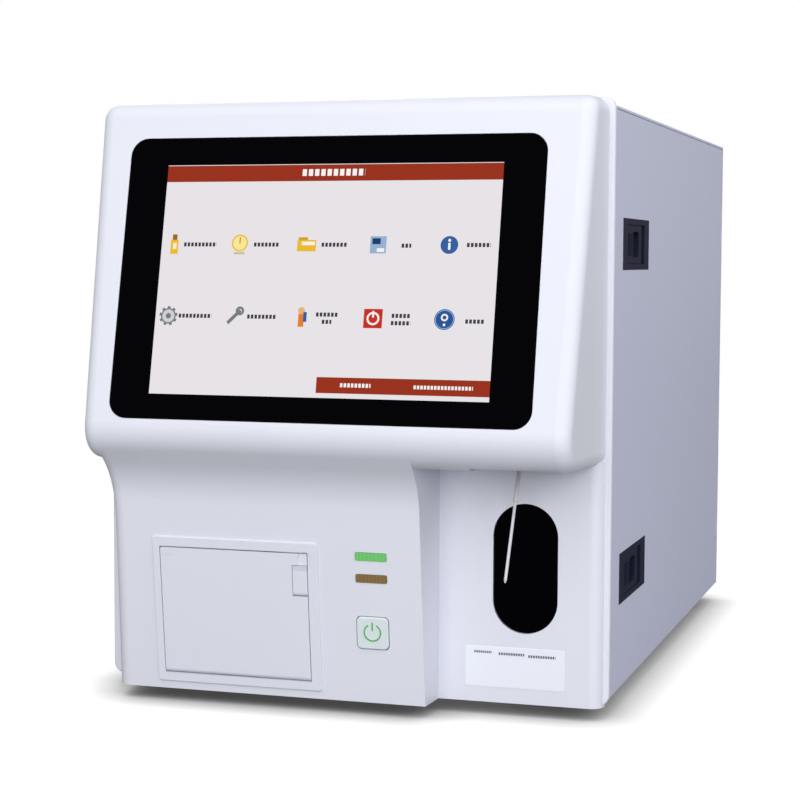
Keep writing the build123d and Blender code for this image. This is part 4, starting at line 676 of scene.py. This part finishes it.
def soften(mesh, size):
    """Bevels a plate's upper rim."""
    high = max(v.co.z for v in mesh.verts)
    upper = [v for v in mesh.verts if v.co.z > high - MM / 1000]
    rim = [e for e in mesh.edges if all(v in upper for v in e.verts) and len(e.link_faces) == 2]
    bmesh.ops.bevel(
        mesh, geom=rim, offset=size, segments=2, profile=0.5, affect="EDGES", material=-1
    )


def build_plate(settings):
    """The blank plate below the start key, with plain marks in place of words."""
    shade = Shade("plate_paper")
    across = middle("aspirate_key").x - PLATE_SHIFT * MM
    up = PLATE_UP * MM
    px, _, pz = shade.split(shade.place())
    x = px - across
    y = pz - up
    ink = sum(strokes(x, y, *mark) for mark in PLATE_MARKS)
    grain = shade.noise(600.0, detail=2.0)
    tone = shade.mix(ink, srgb(238, 241, 252), srgb(70, 72, 84))
    material = shade.set(Base_Color=tone, Roughness=grain * 0.1 + 0.3)
    mesh = rounded_plate(
        settings.plate_width, settings.plate_height, PLATE_CORNER * MM, PLATE_THICK * MM, 4
    )
    soften(mesh, PLATE_RIM * MM)
    seat = leaning(face_point("front_panel", across, up), 0.0)
    bmesh.ops.transform(mesh, matrix=seat, verts=mesh.verts)
    piece("blank_plate", mesh, material, ROOT)


def build_power_sign(settings):
    """The green ring and bar on the power button."""
    green = Shade("sign_green", Roughness=0.35)
    cloud = green.noise(900.0, detail=2.0)
    material = green.set(Base_Color=green.mix(cloud, srgb(84, 176, 96), srgb(110, 198, 120)))
    centre = middle("power_button")
    seat = leaning(face_point("power_button", centre.x, centre.z), -BLOCK_LEAN)
    radius = settings.sign_radius
    width = SIGN_WIDTH * MM
    thick = SIGN_THICK * MM
    mesh = bmesh.new()
    bmesh.ops.create_grid(mesh, x_segments=1, y_segments=1, size=0.5)
    bmesh.ops.scale(mesh, vec=(width, thick, 1), verts=mesh.verts)
    upright = Matrix.Rotation(math.pi / 2, 3, "X")
    bmesh.ops.rotate(mesh, cent=(0, 0, 0), matrix=upright, verts=mesh.verts)
    bmesh.ops.translate(mesh, vec=(radius, 0, thick / 2), verts=mesh.verts)
    start = Matrix.Rotation(math.pi / 2 + SIGN_GAP / 2, 3, "Z")
    bmesh.ops.rotate(mesh, cent=(0, 0, 0), matrix=start, verts=mesh.verts)
    bmesh.ops.spin(
        mesh,
        geom=list(mesh.faces) + list(mesh.edges) + list(mesh.verts),
        cent=(0, 0, 0),
        axis=(0, 0, 1),
        angle=2 * math.pi - SIGN_GAP,
        steps=SIGN_STEPS,
        use_merge=False,
        use_duplicate=False,
    )
    bar = rounded_plate(width, radius * BAR_LENGTH, width * BAR_CORNER, thick, 6)
    bmesh.ops.translate(bar, vec=(0, radius * BAR_UP, 0), verts=bar.verts)
    data = bpy.data.meshes.new("bar")
    bar.to_mesh(data)
    bar.free()
    mesh.from_mesh(data)
    bpy.data.meshes.remove(data)
    bmesh.ops.transform(mesh, matrix=seat, verts=mesh.verts)
    piece("power_sign", mesh, material, "power_button")


def finish_nodes(names, material):
    """One material on every slot of the named CAD nodes."""
    for name in names:
        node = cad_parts[name]
        if not node.data.materials:
            node.data.materials.append(material)
        for i in range(len(node.data.materials)):
            node.data.materials[i] = material


# Studio
def lamp(name, place, size, power, mirrored):
    """A square soft lamp that faces the analyzer; mirrors show it only where that is asked for."""
    data = bpy.data.lights.new(name, "AREA")
    data.size = size
    data.energy = power
    made = bpy.data.objects.new(name, data)
    made.location = place
    made.visible_glossy = mirrored
    made.rotation_euler = (LAMP_AIM - Vector(place)).to_track_quat("-Z", "Y").to_euler()
    bpy.context.scene.collection.objects.link(made)


def build_world(strength):
    """White to the camera, also through clear pieces, and an even soft light for the rest."""
    world = bpy.data.worlds.new("studio_white")
    bpy.context.scene.world = world
    tree = Tree(world, "ShaderNodeOutputWorld")
    seen = tree.node("ShaderNodeBackground", {}, Color=(1.0, 1.0, 1.0), Strength=1.0)
    even = tree.node("ShaderNodeBackground", {}, Color=(1.0, 1.0, 1.0), Strength=strength)
    tree.put(tree.end, tree.node("ShaderNodeMixShader", {}, tree.straight(), even, seen))


def build_floor(tone, reach):
    """A wide white floor whose glow carries a painted contact shadow where the analyzer stands, on top
    of the lamps' real shadow, and fades to plain white.
    """
    glow = 1.0 - tone / 2
    shade = Shade("floor_white", Roughness=0.9, Specular_IOR_Level=0.0, Emission_Strength=glow)
    px, py, _ = shade.split(shade.place())
    away = (px * px + py * py).math("SQRT")
    smooth = {"interpolation_type": "SMOOTHSTEP"}
    fade = shade.node("ShaderNodeMapRange", smooth, away, FADE_START, FADE_END, 0.0, 1.0)
    seen = shade.straight()
    samples = {"samples": CONTACT_SAMPLES}
    # Painted contact shadow: the floor's glow to the camera is dimmed by ambient occlusion where the
    # analyzer stands
    open_sky = shade.node("ShaderNodeAmbientOcclusion", samples, Distance=reach, out="AO")
    glow_with_painted_shadow = seen * open_sky.math("POWER", CONTACT_POWER)
    shade.set(Emission_Color=shade.mix(glow_with_painted_shadow, (0.0, 0.0, 0.0), (1.0, 1.0, 1.0)))
    lit = Signal(shade, shade.surface.outputs[0])
    white = shade.node("ShaderNodeEmission", {})
    shade.put(shade.end, shade.node("ShaderNodeMixShader", {}, fade * seen, lit, white))
    material = shade.set(Base_Color=(tone, tone, tone))
    mesh = bmesh.new()
    bmesh.ops.create_grid(mesh, x_segments=1, y_segments=1, size=FLOOR_HALF)
    floor = stand("floor", mesh, material)


def build_camera():
    """The camera at the photograph's viewpoint."""
    data = bpy.data.cameras.new("camera")
    data.sensor_width = SENSOR_WIDTH
    data.lens = CAMERA_LENS
    data.clip_start = CLIP_START
    camera = bpy.data.objects.new("camera", data)
    camera.location = CAMERA_PLACE
    turn = Matrix.Rotation(math.radians(CAMERA_TURN), 4, "Z")
    tip = Matrix.Rotation(math.radians(90 - CAMERA_DIP), 4, "X")
    roll = Matrix.Rotation(math.radians(CAMERA_ROLL), 4, "Z")
    camera.rotation_euler = (turn @ tip @ roll).to_euler()
    bpy.context.scene.collection.objects.link(camera)
    bpy.context.scene.camera = camera


# Operators and panel
class ANALYZER_OT_housing(bpy.types.Operator):
    """Finish the moulded front and the painted cabinet"""

    bl_idname = "analyzer.housing"
    bl_label = "Housing finishes"

    def execute(self, context):
        """Moulding, paint, feet and screws."""
        colours = context.scene.analyzer_finish
        moulding = moulded_plastic("front_moulding", tuple(colours.moulding))
        finish_nodes(("front_panel", "printer_frame", "printer_door", "printer_lever"), moulding)
        paint = powder_coat("cabinet_paint", tuple(colours.paint))
        finish_nodes(
            ("base_tray", "left_side_panel", "top_cover", "rear_panel", "right_side_door"), paint
        )
        finish_nodes(("feet",), dull_black("foot_rubber", srgb(22, 22, 24), roughness=0.7))
        nickel = plain_metal("nickel", srgb(170, 171, 174), roughness=0.28)
        finish_nodes(("cover_screws", "fan_guard"), nickel)
        latch = dull_black("latch_moulding", srgb(30, 32, 50), roughness=0.5, sheen=0.04)
        finish_nodes(("latch_housings", "upper_latch_slide", "lower_latch_slide"), latch)
        return {"FINISHED"}


class ANALYZER_OT_screen(bpy.types.Operator):
    """Light the menu behind the touch glass"""

    bl_idname = "analyzer.screen"
    bl_label = "Touch screen"

    def execute(self, context):
        """Glass, picture and the parts behind it."""
        finish_nodes(("touch_glass",), screen_glass(context.scene.analyzer_screen))
        bright = plain_metal("bright_sheet", srgb(186, 188, 192), along=(1, 20, 1))
        finish_nodes(("lcd_module", "print_head", "power_supply"), bright)
        return {"FINISHED"}


class ANALYZER_OT_controls(bpy.types.Operator):
    """Finish the lights, the power button and the start key"""

    bl_idname = "analyzer.controls"
    bl_label = "Lights and keys"

    def execute(self, context):
        """Lenses, button, key and the power sign."""
        finish_nodes(("green_light",), lens("green_lens", srgb(110, 194, 110), glow=0.1))
        finish_nodes(("amber_light",), lens("amber_lens", srgb(134, 110, 66), glow=0.0))
        button = moulded_plastic("button_moulding", srgb(222, 232, 236), roughness=0.3)
        finish_nodes(("power_button",), button)
        black = tuple(context.scene.analyzer_finish.key)
        finish_nodes(("aspirate_key",), moulded_plastic("start_key", black, roughness=0.3, sheen=0.03))
        build_power_sign(context.scene.analyzer_marks)
        return {"FINISHED"}


class ANALYZER_OT_plate(bpy.types.Operator):
    """Make the blank plate below the start key"""

    bl_idname = "analyzer.plate"
    bl_label = "Blank plate"

    def execute(self, context):
        """The plate with plain marks."""
        build_plate(context.scene.analyzer_marks)
        return {"FINISHED"}


class ANALYZER_OT_inside(bpy.types.Operator):
    """Finish everything inside the cabinet and on its rear"""

    bl_idname = "analyzer.inside"
    bl_label = "Inner parts"

    def execute(self, context):
        """Metal, plastics, boards and rubber inside."""
        zinc = plain_metal("zinc_sheet", srgb(176, 180, 184), roughness=0.38, along=(1, 1, 12))
        finish_nodes(
            ("display_bracket", "probe_bracket", "front_frame", "partition", "bath_bracket"), zinc
        )
        steel = plain_metal("polished_steel", srgb(214, 216, 222), 0.34, along=(1, 1, 30))
        finish_nodes(("guide_rods", "lift_screw", "hinge_pins"), steel)
        needle = plain_metal(
            "satin_needle", srgb(222, 224, 230), 0.5, along=(1, 1, 30), metallic=0.35
        )
        finish_nodes(("probe_needle",), needle)
        milled = plain_metal("milled_alloy", srgb(196, 198, 202), 0.34, along=(14, 1, 1))
        finish_nodes(("probe_carriage", "syringe_frame", "tube_ports"), milled)
        black = dull_black("black_moulding", srgb(26, 26, 28), roughness=0.45)
        finish_nodes(
            (
                "key_carrier",
                "aspirate_switch",
                "fan_housing",
                "fan_rotor",
                "power_inlet",
                "power_rocker",
                "interface_sockets",
            ),
            black,
        )
        coil = dull_black("coil_moulding", srgb(30, 31, 34), roughness=0.32)
        finish_nodes(("solenoid_valves", "pump_body", "lift_motor", "syringe_motors"), coil)
        finish_nodes(("display_board", "key_board", "main_board"), circuit_board("board_green"))
        acetal = moulded_plastic("white_acetal", srgb(236, 236, 232), roughness=0.3, grain=500.0)
        finish_nodes(("wipe_block", "pump_rotor", "diluent_plunger", "sample_plunger"), acetal)
        milky = clear_plastic("milky_acrylic", srgb(226, 232, 236), transmission=0.45)
        finish_nodes(
            ("white_cell_bath", "red_cell_bath", "valve_manifold", "vacuum_chamber"), milky
        )
        barrel = clear_plastic(
            "barrel_glass", (0.95, 0.97, 0.98), transmission=0.95, roughness=0.02
        )
        finish_nodes(("syringe_barrels",), barrel)
        finish_nodes(("platen_roller",), dull_black("roller_rubber", srgb(30, 30, 32), roughness=0.75))
        paper = moulded_plastic("roll_paper", srgb(244, 243, 238), 0.75, grain=2600.0, depth=0.1)
        finish_nodes(("paper_roll",), paper)
        return {"FINISHED"}


class ANALYZER_OT_studio(bpy.types.Operator):
    """Set up the floor, the lamps and the camera"""

    bl_idname = "analyzer.studio"
    bl_label = "Studio"

    def execute(self, context):
        """White floor, even world, soft lamps and the photograph's viewpoint."""
        settings = context.scene.analyzer_studio
        build_floor(settings.floor_tone, settings.contact)
        build_world(settings.world)
        for name, (power, place, size, mirrored) in LAMPS.items():
            lamp(name, place, size, getattr(settings, power), mirrored)
        build_camera()
        context.scene.view_settings.view_transform = "Standard"
        return {"FINISHED"}


class ANALYZER_PT_panel(bpy.types.Panel):
    """The dressing's buttons and settings."""

    bl_label = "Analyzer dressing"
    bl_idname = "ANALYZER_PT_panel"
    bl_space_type = "VIEW_3D"
    bl_region_type = "UI"
    bl_category = "Analyzer"

    def draw(self, context):
        """Settings above, one button for each operator below."""
        for group in SETTINGS:
            box = self.layout.box()
            holder = getattr(context.scene, group)
            for key in holder.__annotations__:
                box.prop(holder, key)
        for operator in OPERATORS:
            self.layout.operator(operator.bl_idname)


SETTINGS = {
    "analyzer_screen": ScreenSettings,
    "analyzer_finish": FinishSettings,
    "analyzer_marks": MarkSettings,
    "analyzer_studio": StudioSettings,
}
OPERATORS = (
    ANALYZER_OT_housing,
    ANALYZER_OT_screen,
    ANALYZER_OT_controls,
    ANALYZER_OT_plate,
    ANALYZER_OT_inside,
    ANALYZER_OT_studio,
)


def register():
    """Adds the settings, operators and panel."""
    for name, group in SETTINGS.items():
        bpy.utils.register_class(group)
        setattr(bpy.types.Scene, name, PointerProperty(type=group))
    for item in (*OPERATORS, ANALYZER_PT_panel):
        bpy.utils.register_class(item)


def unregister():
    """Takes them away again."""
    for item in reversed((*OPERATORS, ANALYZER_PT_panel)):
        bpy.utils.unregister_class(item)
    for name, group in SETTINGS.items():
        delattr(bpy.types.Scene, name)
        bpy.utils.unregister_class(group)


def main():
    """Runs every operator."""
    register()
    bpy.ops.analyzer.housing()
    bpy.ops.analyzer.screen()
    bpy.ops.analyzer.controls()
    bpy.ops.analyzer.plate()
    bpy.ops.analyzer.inside()
    bpy.ops.analyzer.studio()
    bpy.context.view_layer.update()


if __name__ == "__main__":
    main()
